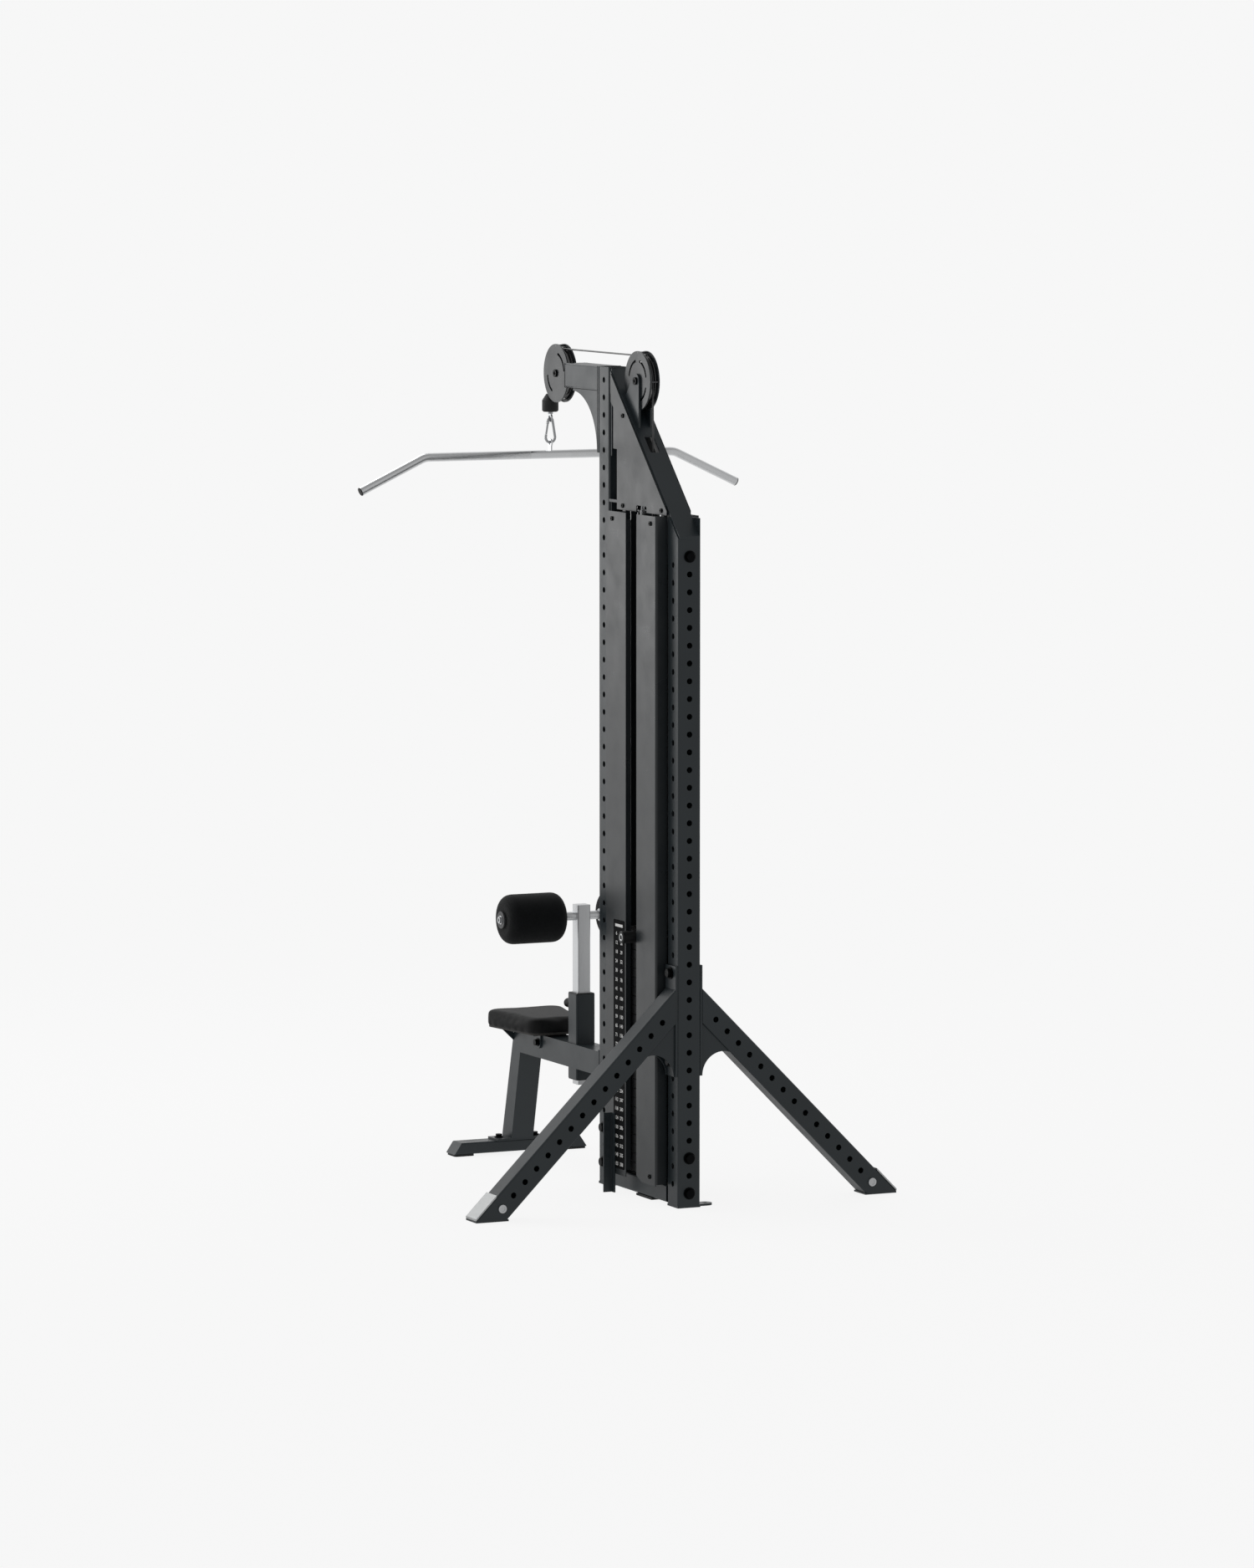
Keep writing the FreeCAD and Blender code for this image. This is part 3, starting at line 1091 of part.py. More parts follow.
def lat_bar():
    angle = math.radians(BAR_DROP_ANGLE)
    bend_r = 60.0
    cut_back = bend_r * math.tan(angle / 2)
    bend_x = BAR_STRAIGHT
    end = V(BAR_TIP_X, BAR_Y, BAR_Z - (BAR_TIP_X - bend_x) * math.tan(angle))
    bend_start = V(bend_x - cut_back, BAR_Y, BAR_Z)
    bend_end = V(bend_x + cut_back * math.cos(angle), BAR_Y, BAR_Z - cut_back * math.sin(angle))
    bend_middle = V(bend_start.x + bend_r * math.sin(angle / 2), BAR_Y,
                    BAR_Z - bend_r * (1 - math.cos(angle / 2)))

    def flip(point):
        return V(-point.x, point.y, point.z)

    edges = [Part.makeLine(flip(end), flip(bend_end)),
             Part.Arc(flip(bend_end), flip(bend_middle), flip(bend_start)).toShape(),
             Part.makeLine(flip(bend_start), bend_start),
             Part.Arc(bend_start, bend_middle, bend_end).toShape(),
             Part.makeLine(bend_end, end)]
    direction = (flip(bend_end) - flip(end)).normalize()
    tube = pipe(edges, BAR_R, direction).cut(pipe(edges, BAR_R - 3.0, direction))
    return tube, end, V(math.cos(angle), 0, -math.sin(angle))


def bar_end_plugs(end, direction):
    plug = fuse([rod(end, direction, BAR_R, 3.0), rod(end - direction * 14, direction, BAR_R - 3.0, 14.0)])
    plug = plug.makeFillet(1.5, [e for e in plug.Edges if e.Curve.TypeId == "Part::GeomCircle"
                                 and (e.Curve.Center - (end + direction * 3.0)).Length < 1e-6])
    return both_sides(plug)


def bar_eye():
    """Welded eye plate at the middle of the bar."""
    plate = eye_plate(HOOK_LOW_Z - 1.0, BAR_Z)
    return plate.cut(rod_x((-10, 10), BAR_Y, BAR_Z, BAR_R))


# ---- structural bolts -------------------------------------------------------------------------
def tower_bolts():
    """M16 bolts that hold the base beam, the top frame, the arm, the legs and the seat frame."""
    def face_z(k):
        return FIRST_FACE_HOLE + k * PITCH

    def side_z(k):
        return FIRST_SIDE_HOLE + k * PITCH

    forward = V(0, -1, 0)
    rearward = V(0, 1, 0)
    inward = V(-1, 0, 0)
    bolts = [clamp_bolt(V(0, BACK, face_z(k)), forward, TUBE + FLANGE_T) for k in BASE_BOLTS]
    bolts.append(clamp_bolt(V(0, BACK, face_z(TOP_REAR_BOLT)), forward, TUBE + FLANGE_T + SADDLE_T))
    bolts.append(clamp_bolt(V(0, FRONT_FRONT_FACE, face_z(BASE_BOLTS[1])), rearward, TUBE + FLANGE_T))
    bolts.append(clamp_bolt(V(0, FRONT_FRONT_FACE, face_z(SADDLE_FRONT_BOLT)), rearward, TUBE + SADDLE_T))
    for k in ARM_BOLTS:
        start = V(0, FRONT_REAR_FACE + FLANGE_T, face_z(k))
        bolts.append(clamp_bolt(start, forward, TUBE + 2 * FLANGE_T))
    for k in SEAT_FLANGE_BOLTS:
        start = V(0, FRONT_FRONT_FACE - FLANGE_T, face_z(k))
        bolts.append(clamp_bolt(start, rearward, TUBE + FLANGE_T))
    for k in BASE_BOLTS:
        bolts.append(clamp_bolt(V(HALF, FRONT_Y, side_z(k)), inward, TUBE))
    for k in LEG_BOLTS:
        start = V(HALF + LEG_PLATE_T, REAR_Y, side_z(k))
        bolts.append(clamp_bolt(start, inward, TUBE + 2 * LEG_PLATE_T))
    return Part.makeCompound(bolts)


def main():
    os.makedirs("parts", exist_ok=True)
    save("rear_upright", rear_upright())
    save("front_upright", front_upright())
    save("base_beam", base_beam())
    save("panel_foot_bracket", panel_foot_bracket())
    right_leg = leg()
    save("right_leg", right_leg)
    save("left_leg", mirror_x(right_leg))
    save("leg_tip_covers", both_sides(leg_tip_cover()))
    save("leg_badge_bolts", both_sides(leg_badge_bolt()))
    save("tower_bolts", tower_bolts())

    save("upper_brace", upper_brace())
    save("top_covers", both_sides(top_cover()))
    save("top_arm", top_arm())

    save("front_guard_discs", front_fork())
    save("rear_guard_discs", guard_discs(REAR_PULLEY_Y, REAR_SLITS, False))
    keepers = keeper_pins(FRONT_PULLEY_Y).Solids + keeper_pins(REAR_PULLEY_Y).Solids
    save("cable_keeper_pins", Part.makeCompound(keepers))
    save("front_pulley", pulley(FRONT_PULLEY_Y))
    save("rear_pulley", pulley(REAR_PULLEY_Y))
    save("front_pulley_bearing", pulley_bearing(FRONT_PULLEY_Y))
    save("rear_pulley_bearing", pulley_bearing(REAR_PULLEY_Y))
    axles = [pulley_axle(FRONT_PULLEY_Y, DISC_OUT), pulley_axle(REAR_PULLEY_Y, EAR_OUT)]
    save("pulley_axles", Part.makeCompound(axles))

    save("weight_plates", weight_plates())
    save("head_plate", head_plate())
    save("guide_bushings", guide_bushings())
    save("selector_rod", selector_rod())
    save("cable_adjuster", cable_adjuster())
    save("selector_pin", selector_pin())
    save("guide_rods", guide_rods())
    save("stack_bumpers", stack_bumpers())
    save("guide_rod_top_plate", guide_rod_top_plate())

    save("right_shroud_panels", Part.makeCompound([front_shroud_panel(), rear_shroud_panel()]))
    save("left_shroud_panel", closed_shroud_panel())
    save("shroud_brackets", shroud_brackets())
    save("cover_screws", cover_screws())
    save("weight_label", weight_label())

    save("seat_frame", seat_frame())
    save("front_crossbar", front_crossbar())
    save("floor_pads", Part.makeCompound([base_pad()] + crossbar_pads().Solids))
    cross, screws = seat_bolts()
    crossbar_pair = crossbar_bolts().Solids
    save("seat_pad", seat_pad())
    save("seat_board", seat_board().cut(Part.makeCompound(screws)))
    save("seat_bracket", seat_bracket().cut(Part.makeCompound(screws)))
    save("seat_bolts", Part.makeCompound([cross] + crossbar_pair + screws))

    save("sleeve_bushings", sleeve_bushings())
    save("pull_pin_housing", pull_pin_housing())
    save("pull_pin", pull_pin())
    save("roller_post", roller_post())
    save("roller_axle", roller_axle())
    save("axle_fittings", Part.makeCompound(axle_collars().Solids + axle_end_bolts().Solids))
    save("right_roller_foam", roller_foam())
    save("left_roller_foam", mirror_x(roller_foam()))
    save("right_roller_hub", roller_hub())
    save("left_roller_hub", mirror_x(roller_hub()))

    save("cable_over_pulleys", cable_over_pulleys())
    save("cable_bar_drop", cable_bar_drop())
    save("cable_stack_drop", cable_stack_drop())
    save("cable_stopper", cable_stopper())
    save("swivel_eye", swivel_eye())
    save("snap_hook", snap_hook())
    save("hook_gate", hook_gate())
    bar, end, direction = lat_bar()
    save("lat_bar", fuse([bar, bar_eye()]))
    save("bar_end_plugs", bar_end_plugs(end, direction))


main()
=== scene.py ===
import math

import bmesh
import bpy
from mathutils import Matrix, Vector


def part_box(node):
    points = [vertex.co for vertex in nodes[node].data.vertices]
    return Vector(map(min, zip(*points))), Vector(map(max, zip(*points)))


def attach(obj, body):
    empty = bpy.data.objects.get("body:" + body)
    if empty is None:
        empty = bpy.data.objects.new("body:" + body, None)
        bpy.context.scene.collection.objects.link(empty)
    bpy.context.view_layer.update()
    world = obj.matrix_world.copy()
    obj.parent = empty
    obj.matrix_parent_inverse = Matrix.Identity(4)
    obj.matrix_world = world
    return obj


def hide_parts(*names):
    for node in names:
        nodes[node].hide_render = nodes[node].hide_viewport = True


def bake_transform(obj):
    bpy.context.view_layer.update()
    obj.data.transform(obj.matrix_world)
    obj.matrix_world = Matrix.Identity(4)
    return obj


# Lat pulldown machine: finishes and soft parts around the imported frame. Metres, +Z up, user at -Y.

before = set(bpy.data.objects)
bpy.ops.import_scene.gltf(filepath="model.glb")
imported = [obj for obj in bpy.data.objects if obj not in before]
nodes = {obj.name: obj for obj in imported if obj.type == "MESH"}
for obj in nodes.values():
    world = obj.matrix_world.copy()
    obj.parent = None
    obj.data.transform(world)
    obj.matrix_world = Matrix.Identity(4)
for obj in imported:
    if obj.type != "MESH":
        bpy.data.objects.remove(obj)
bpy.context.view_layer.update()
scene = bpy.context.scene

MM = 0.001

# ---- finish values ----------------------------------------------------------------------------
COAT = (0.0170, 0.0240, 0.0280)        # dark slate powder coat
SHEET = (0.0160, 0.0200, 0.0225)       # the same coat on the sheet covers
STACK = (0.0035, 0.0038, 0.0045)
BLACK = (0.006, 0.0065, 0.007)
VINYL = (0.0055, 0.0058, 0.0062)
SKIN_FOAM = (0.0042, 0.0050, 0.0056)
STAIN = (0.020, 0.018, 0.016)
JACKET = (0.020, 0.021, 0.022)
HUB = (0.045, 0.047, 0.05)
WHEEL = (0.008, 0.0085, 0.009)
OXIDE = (0.007, 0.0075, 0.008)
DARK_STEEL = (0.10, 0.10, 0.105)
ALLOY = (0.62, 0.63, 0.64)
STEEL = (0.66, 0.67, 0.68)
CHROME = (0.82, 0.83, 0.84)
ZINC = (0.50, 0.51, 0.52)
SILVER = (0.55, 0.56, 0.56)
LABEL = (0.004, 0.0045, 0.005)
WHITE = (0.80, 0.80, 0.79)

# ---- bar and top arm --------------------------------------------------------------------------
BAR_R = 12.5 * MM
BAR_EYE_RISE = 46 * MM                 # top of the welded eye above the bar's axis
BAR_POLISHED = 65 * MM                 # half length of the polished middle
BAR_BEND_X = 385 * MM
KNURL_PITCH = 1.6 * MM
KNURL_DEPTH = 0.06 * MM
ARM_TUBE = 70 * MM                     # height of the top arm
ARM_FLANGE = 8 * MM
WELD_R = 0.9 * MM
COVER_INSIDE = 35.5 * MM               # the covers' inner faces stand nearer the middle than this

# ---- weight label -----------------------------------------------------------------------------
NUMBER_HEIGHT = 10.5 * MM
NUMBER_ROWS = 26
FIRST_ROW = 13 * MM                    # lowest row above the label's lower edge
ROW_PITCH = 26.5 * MM
KG_COLUMN = 0.28                       # places across the label's width
LB_COLUMN = 0.72
PLATE_KG = 5.9
PLATE_LB = 13
FONT_PER_HEIGHT = 1.35                 # font size over the height of a digit
STROKE_SPREAD = 0.25 * MM              # thickens the digits' strokes
INK_DEPTH = 0.08 * MM
INK_GAP = 0.05 * MM
HEAD_BAR_DROP = 16 * MM
HEAD_BAR_SHARE = 0.68                  # of the label's width
HEAD_BAR_HEIGHT = 8 * MM
HEAD_BAR_DEPTH = 0.24 * MM

# ---- soft parts -------------------------------------------------------------------------------
VOXEL = 5 * MM
CLOTH_FRAMES = 20
RELAX_FACTOR = 0.5
SEAT_SHRINK = (0.985, 0.985, 0.94)
SEAT_PRESSURE = 1.5
SEAT_UNDER_GAP = 0.3 * MM
ROLLER_SHRINK = (0.985, 0.965, 0.965)
ROLLER_PRESSURE = 4.0
ROLLER_HELD = 32 * MM                  # the foam is held to its hub inside this radius
SWELL_CAP = 4 * MM

# ---- selector knob ----------------------------------------------------------------------------
RING_TURNS = 48
CAP_FACE = -0.3 * MM                   # the ring's face lies just inside the knob's end
CAP_FOOT = -2.9 * MM                   # and its foot near the bottom of the recess
CAP_PROFILE = ((CAP_FOOT, 6.0 * MM), (-0.9 * MM, 6.2 * MM), (CAP_FACE, 7.2 * MM),
               (CAP_FACE, 10.0 * MM), (-0.8 * MM, 10.8 * MM), (CAP_FOOT, 10.9 * MM))

# ---- studio -----------------------------------------------------------------------------------
PAPER = (0.93, 0.93, 0.93)
ROOM = (0.8, 0.8, 0.8)
FLOOR_MATTE = 0.10
FLOOR_GLOW = 0.872
FLOOR_REACH = 40.0
FLOOR_GAP = 0.2 * MM
FADE_SPAN = (2.0, 8.0)                 # distances where the floor fades into the backdrop
BACK_GLOW = 1.00                       # the user's side, behind the machine in the picture
FRONT_GLOW = 0.60                      # the camera's side
SIDE_SPAN = (0.35, -0.65)              # Y of the direction where the room turns from front to back
ROOF_GLOW = -0.25                      # taken off overhead
ROOF_SPAN = (0.3, 1.0)                 # Z of the direction where the roof starts and ends
FLOOR_BACK_GLOW = 0.90                 # what the floor lends to reflections, on the same two sides
FLOOR_FRONT_GLOW = 0.44
FLOOR_SPAN = (0.8, -5.0)               # Y where the floor turns from front to back

# ---- camera, fitted to the straight edges in the photo ----------------------------------------
CAMERA_PLACE = (8.8736, 19.1166, 3.2554)
CAMERA_HEADING = 154.883
CAMERA_PITCH = 5.711
CAMERA_LENS = 168.84
CAMERA_SENSOR = 36.0
CAMERA_FAR = 200.0


# ---- node helpers -----------------------------------------------------------------------------
def opaque(colour):
    return (*colour, 1.0)


def add_node(tree, kind, inputs=None, **settings):
    """Add a node, set its options, then link or set its inputs by name or number."""
    node = tree.nodes.new(kind)
    for option, choice in settings.items():
        setattr(node, option, choice)
    for socket, value in (inputs or {}).items():
        if isinstance(value, bpy.types.NodeSocket):
            tree.links.new(value, node.inputs[socket])
        else:
            node.inputs[socket].default_value = value
    return node


def ramp(tree, value, span, low, high, shape="LINEAR"):
    """Map a value from the span's two ends to low and high."""
    inputs = {0: value, 1: span[0], 2: span[1], 3: low, 4: high}
    return add_node(tree, "ShaderNodeMapRange", inputs, interpolation_type=shape).outputs[0]


# ---- material builder -------------------------------------------------------------------------
class Finish:
    """A node material in the making: one Principled surface fed by patterns in machine space."""

    def __init__(self, name, colour, roughness, metallic=0.0):
        self.material = bpy.data.materials.new(name)
        self.material.use_nodes = True
        self.material.diffuse_color = opaque(colour)
        self.tree = self.material.node_tree
        self.surface = self.tree.nodes["Principled BSDF"]
        self.place = self.add("ShaderNodeTexCoord").outputs["Object"]
        self.colour = colour
        self.put("Base Color", opaque(colour))
        self.put("Roughness", roughness)
        self.put("Metallic", metallic)
        self.normal = None

    def put(self, socket, value):
        target = self.surface.inputs[socket]
        if isinstance(value, bpy.types.NodeSocket):
            self.tree.links.new(value, target)
        else:
            target.default_value = value

    def add(self, kind, inputs=None, **settings):
        return add_node(self.tree, kind, inputs, **settings)

    def stretch(self, x, y, z):
        return self.add("ShaderNodeMapping", {"Vector": self.place, "Scale": (x, y, z)}).outputs[0]

    def noise(self, scale, detail=2.0, where=None):
        inputs = {"Vector": where or self.place, "Scale": scale, "Detail": detail}
        return self.add("ShaderNodeTexNoise", inputs).outputs[0]

    def cells(self, scale, feature="F1"):
        inputs = {"Vector": self.place, "Scale": scale}
        return self.add("ShaderNodeTexVoronoi", inputs, feature=feature).outputs["Distance"]

    def bands(self, scale, distortion):
        inputs = {"Vector": self.place, "Scale": scale, "Distortion": distortion}
        return self.add("ShaderNodeTexWave", inputs, bands_direction="DIAGONAL").outputs["Fac"]

    def spread(self, value, from_low, from_high, low, high):
        return ramp(self.tree, value, (from_low, from_high), low, high)

    def maths(self, operation, first, second=0.0):
        return self.add("ShaderNodeMath", {0: first, 1: second}, operation=operation).outputs[0]

    def mottle(self, pattern, amount):
        """Vary the base colour by plus and minus amount of itself."""
        dark = opaque([c * (1 - amount) for c in self.colour])
        light = opaque([min(1.0, c * (1 + amount)) for c in self.colour])
        mixed = self.add("ShaderNodeMix", {0: pattern, 6: dark, 7: light}, data_type="RGBA")
        self.put("Base Color", mixed.outputs[2])
        return mixed.outputs[2]

    def soft_edges(self, radius):
        """Shade sharp corners as if they had a small radius."""
        self.normal = self.add("ShaderNodeBevel", {"Radius": radius}, samples=4).outputs[0]
        self.put("Normal", self.normal)
        return self.normal

    def edge_mask(self, radius):
        """White on convex and concave corners, black on flat faces."""
        rounded = self.soft_edges(radius)
        flat = self.add("ShaderNodeNewGeometry").outputs["Normal"]
        dot = self.add("ShaderNodeVectorMath", {0: rounded, 1: flat}, operation="DOT_PRODUCT")
        return self.spread(dot.outputs["Value"], 0.995, 0.80, 0.0, 1.0)

    def relief(self, height, depth, strength):
        """Raise the surface by a pattern, on top of any relief it has already."""
        inputs = {"Height": height, "Distance": depth, "Strength": strength}
        if self.normal is not None:
            inputs["Normal"] = self.normal
        self.normal = self.add("ShaderNodeBump", inputs).outputs[0]
        self.put("Normal", self.normal)


# ---- finishes ---------------------------------------------------------------------------------
def powder_coat(name, colour, roughness=0.34, outside_from=0.0):
    """Satin powder coat: fine orange peel, faint clouding, corners rubbed slightly brighter.

    Where it is nearer the machine's middle plane than outside_from, it has no shine: painted shade, so
    the inside of the covers reads dark.
    """
    coat = Finish(name, colour, roughness)
    clouds = coat.noise(5.0, 4.0)
    tinted = coat.mottle(coat.spread(clouds, 0.3, 0.7, 0.0, 1.0), 0.10)
    corner = coat.edge_mask(0.9 * MM)
    scuffs = coat.spread(coat.noise(60.0, 5.0), 0.35, 0.75, 0.0, 0.55)
    rubbed = opaque([min(1.0, c * 2.6 + 0.01) for c in colour])
    wear = coat.maths("MULTIPLY", corner, scuffs)
    worn = coat.add("ShaderNodeMix", {0: wear, 6: tinted, 7: rubbed}, data_type="RGBA")
    coat.put("Base Color", worn.outputs[2])
    patches = coat.spread(coat.noise(14.0, 3.0), 0.3, 0.7, roughness - 0.05, roughness + 0.06)
    coat.put("Roughness", patches)
    coat.put("Specular IOR Level", 0.5)
    # painted shade: inner faces lose their reflections so the space inside the covers reads dark
    if outside_from:
        across = coat.add("ShaderNodeSeparateXYZ", {0: coat.place}).outputs[0]
        away = coat.maths("ABSOLUTE", across)
        shine = coat.spread(away, outside_from, outside_from + 1 * MM, 0.02, 0.5)
        coat.put("Specular IOR Level", shine)
    coat.relief(coat.noise(650.0, 2.0), 0.06 * MM, 0.5)
    coat.relief(coat.noise(2600.0, 1.0), 0.02 * MM, 0.4)
    return coat.material


def brushed_metal(name, colour, roughness, along, line_scale=420.0, depth=0.03 * MM):
    """Bright metal with fine grinding lines that run along one axis."""
    metal = Finish(name, colour, roughness, 1.0)
    squeeze = [1.0, 1.0, 1.0]
    squeeze["XYZ".index(along)] = 0.02
    lines = metal.noise(line_scale, 4.0, metal.stretch(*squeeze))
    metal.mottle(metal.noise(9.0, 3.0), 0.06)
    metal.put("Roughness", metal.spread(lines, 0.25, 0.75, roughness - 0.07, roughness + 0.10))
    metal.soft_edges(0.5 * MM)
    metal.relief(lines, depth, 0.6)
    return metal.material


def plated_metal(name, colour, roughness):
    """Zinc, oxide or bare metal with a slightly uneven sheen and small handling marks."""
    metal = Finish(name, colour, roughness, 1.0)
    metal.mottle(metal.noise(45.0, 5.0), 0.16)
    marks = metal.noise(190.0, 6.0)
    metal.put("Roughness", metal.spread(marks, 0.3, 0.7, roughness - 0.08, roughness + 0.12))
    metal.soft_edges(0.35 * MM)
    metal.relief(marks, 0.03 * MM, 0.5)
    return metal.material


def moulded_plastic(name, colour, roughness, grain=900.0):
    plastic = Finish(name, colour, roughness)
    plastic.mottle(plastic.noise(30.0, 3.0), 0.12)
    patches = plastic.noise(80.0, 3.0)
    plastic.put("Roughness", plastic.spread(patches, 0.3, 0.7, roughness - 0.06, roughness + 0.08))
    plastic.soft_edges(0.5 * MM)
    plastic.relief(plastic.cells(grain), 0.05 * MM, 0.4)
    return plastic.material


def turned_plastic(name, colour, roughness):
    """Machined nylon wheel: fine rings left by the turning tool."""
    plastic = Finish(name, colour, roughness)
    plastic.put("Coat Weight", 1.0)
    plastic.put("Coat Roughness", 0.12)
    plastic.put("Coat IOR", 2.4)
    plastic.mottle(plastic.noise(25.0, 3.0), 0.15)
    lines = plastic.noise(1400.0, 2.0, plastic.stretch(1.0, 0.05, 0.05))
    plastic.put("Roughness", plastic.spread(lines, 0.3, 0.7, roughness - 0.05, roughness + 0.08))
    plastic.soft_edges(0.4 * MM)
    plastic.relief(lines, 0.02 * MM, 0.5)
    return plastic.material


def bar_steel():
    """Satin chrome bar: diamond knurl on the grips, polished in the middle, satin without knurl on the
    bend.
    """
    metal = Finish("bar_steel", CHROME, 0.24, 1.0)
    low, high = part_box("lat_bar")
    axis_y = (low.y + high.y) / 2
    axis_z = high.z - BAR_EYE_RISE
    parts = metal.add("ShaderNodeSeparateXYZ", {0: metal.place}).outputs
    across = metal.maths("SUBTRACT", parts[1], axis_y)
    up = metal.maths("SUBTRACT", parts[2], axis_z)
    around = metal.maths("MULTIPLY", metal.maths("ARCTAN2", across, up), BAR_R)
    ridges = []
    for sign in (1.0, -1.0):
        run = metal.maths("ADD", parts[0], metal.maths("MULTIPLY", around, sign))
        ridges.append(metal.maths("SINE", metal.maths("MULTIPLY", run, math.tau / KNURL_PITCH)))
    diamonds = metal.maths("MAXIMUM", ridges[0], ridges[1])
    reach = metal.maths("ABSOLUTE", parts[0])
    satin = metal.maths("GREATER_THAN", reach, BAR_POLISHED)
    grip = metal.maths("MULTIPLY", satin, metal.maths("LESS_THAN", reach, BAR_BEND_X))
    rough = metal.spread(satin, 0.0, 1.0, 0.10, 0.27)
    streaks = metal.spread(metal.noise(500.0, 4.0, metal.stretch(0.04, 1, 1)), 0.3, 0.7, -0.03, 0.06)
    metal.put("Roughness", metal.maths("ADD", rough, streaks))
    metal.mottle(metal.noise(12.0, 3.0), 0.08)
    metal.soft_edges(0.4 * MM)
    metal.relief(metal.maths("MULTIPLY", diamonds, grip), KNURL_DEPTH, 0.3)
    return metal.material


def vinyl(name, colour, roughness, grain, shine):
    """Upholstery vinyl: pebbled grain, a soft sheen and slightly polished high spots."""
    cover = Finish(name, colour, roughness)
    cover.put("Specular IOR Level", shine)
    pebbles = cover.cells(grain, "SMOOTH_F1")
    creases = cover.noise(70.0, 6.0)
    cover.mottle(cover.spread(creases, 0.3, 0.7, 0.0, 1.0), 0.22)
    cover.put("Roughness", cover.spread(pebbles, 0.1, 0.7, roughness - 0.06, roughness + 0.12))
    cover.put("Sheen Weight", 0.06)
    cover.put("Sheen Roughness", 0.4)
    cover.relief(creases, 0.25 * MM, 0.35)
    cover.relief(pebbles, 0.12 * MM, 0.7)
    return cover.material


def stained_wood():
    board = Finish("stained_wood", STAIN, 0.6)
    grain = board.noise(160.0, 6.0, board.stretch(1.0, 0.06, 1.0))
    board.mottle(grain, 0.45)
    board.relief(grain, 0.1 * MM, 0.5)
    return board.material


def cable_jacket():
    """Nylon-coated wire rope: the strands show faintly as a twist through the coat."""
    jacket = Finish("cable_jacket", JACKET, 0.30)
    twist = jacket.bands(210.0, 0.4)
    jacket.mottle(twist, 0.35)
    jacket.put("Coat Weight", 0.5)
    jacket.put("Coat Roughness", 0.12)
    jacket.relief(twist, 0.15 * MM, 0.5)
    return jacket.material


def label_film():
    """Dull black film under the weight scale."""
    film = Finish("label_film", LABEL, 0.70)
    film.put("Specular IOR Level", 0.06)
    film.mottle(film.noise(35.0, 2.0), 0.1)
    film.put("Roughness", film.spread(film.noise(120.0, 4.0), 0.3, 0.7, 0.60, 0.80))
    film.relief(film.noise(300.0, 2.0), 0.02 * MM, 0.3)
    return film.material


def printed_ink():
    ink = Finish("printed_ink", WHITE, 0.5)
    ink.mottle(ink.noise(400.0, 3.0), 0.05)
    return ink.material


def weld_metal():
    """Weld bead at the arm's joints, painted darker than the coat as painted shade along the joint; the
    ripples of the run show through.
    """
    # painted shade: the stack's near-black paint makes each bead read as a shade line in its joint
    bead = Finish("weld_metal", STACK, 0.60)
    bead.put("Specular IOR Level", 0.15)
    ripples = bead.bands(300.0, 1.5)
    bead.mottle(ripples, 0.3)
    bead.relief(ripples, 0.15 * MM, 0.6)
    return bead.material


# ---- mesh helpers -----------------------------------------------------------------------------
def finish_object(piece, material):
    """Make this the piece's only material."""
    piece.data.materials.clear()
    piece.data.materials.append(material)


def new_piece(name, mesh, material):
    piece = bpy.data.objects.new(name, mesh)
    scene.collection.objects.link(piece)
    finish_object(piece, material)
    return piece


def apply_modifiers(piece):
    """Bake a piece's modifiers into its mesh."""
    graph = bpy.context.evaluated_depsgraph_get()
    baked = bpy.data.meshes.new_from_object(piece.evaluated_get(graph))
    piece.modifiers.clear()
    piece.data = baked


def shade_smooth(piece):
    for face in piece.data.polygons:
        face.use_smooth = True


def voxel_remesh(piece):
    remesh = piece.modifiers.new("remesh", "REMESH")
    remesh.mode = "VOXEL"
    remesh.voxel_size = VOXEL
    remesh.use_smooth_shade = True
    apply_modifiers(piece)


def relax(piece, rounds):
    smooth = piece.modifiers.new("relax", "SMOOTH")
    smooth.iterations = rounds
    smooth.factor = RELAX_FACTOR
    apply_modifiers(piece)


def puff(piece, pressure):
    """Swell a closed soft piece with a short cloth run. No point moves further than SWELL_CAP."""
    start = [vertex.co.copy() for vertex in piece.data.vertices]
    cloth = piece.modifiers.new("cloth", "CLOTH")
    cloth.settings.quality = 5
    cloth.settings.mass = 0.3
    cloth.settings.tension_stiffness = 15
    cloth.settings.compression_stiffness = 15
    cloth.settings.bending_stiffness = 0.5
    cloth.settings.use_pressure = True
    cloth.settings.uniform_pressure_force = pressure
    cloth.settings.effector_weights.gravity = 0.0
    cloth.collision_settings.use_collision = False
    cloth.point_cache.frame_start = 1
    cloth.point_cache.frame_end = CLOTH_FRAMES
    for step in range(1, CLOTH_FRAMES + 1):
        scene.frame_set(step)
    graph = bpy.context.evaluated_depsgraph_get()
    moved = [vertex.co.copy() for vertex in piece.evaluated_get(graph).data.vertices]
    piece.modifiers.clear()
    scene.frame_set(1)
    for vertex, before, after in zip(piece.data.vertices, start, moved):
        travel = after - before
        if travel.length > SWELL_CAP:
            travel = travel.normalized() * SWELL_CAP
        vertex.co = before + travel
    piece.data.update()


def subdivide(piece):
    surface = piece.modifiers.new("subdivision", "SUBSURF")
    surface.levels = 1
    surface.render_levels = 1
    apply_modifiers(piece)


def copy_of(node, name, material):
    """A new object with a copy of a CAD node's mesh."""
    return new_piece(name, nodes[node].data.copy(), material)


def shrink_about(piece, centre, scale):
    """Scale a piece's points about a centre."""
    for vertex in piece.data.vertices:
        vertex.co = centre + (vertex.co - centre) * Vector(scale)
    piece.data.update()


def curve_mesh(name, curve):
    """The mesh of a curve or text, without the curve's object."""
    holder = bpy.data.objects.new(name + "_curve", curve)
    scene.collection.objects.link(holder)
    graph = bpy.context.evaluated_depsgraph_get()
    mesh = bpy.data.meshes.new_from_object(holder.evaluated_get(graph))
    bpy.data.objects.remove(holder)
    return mesh


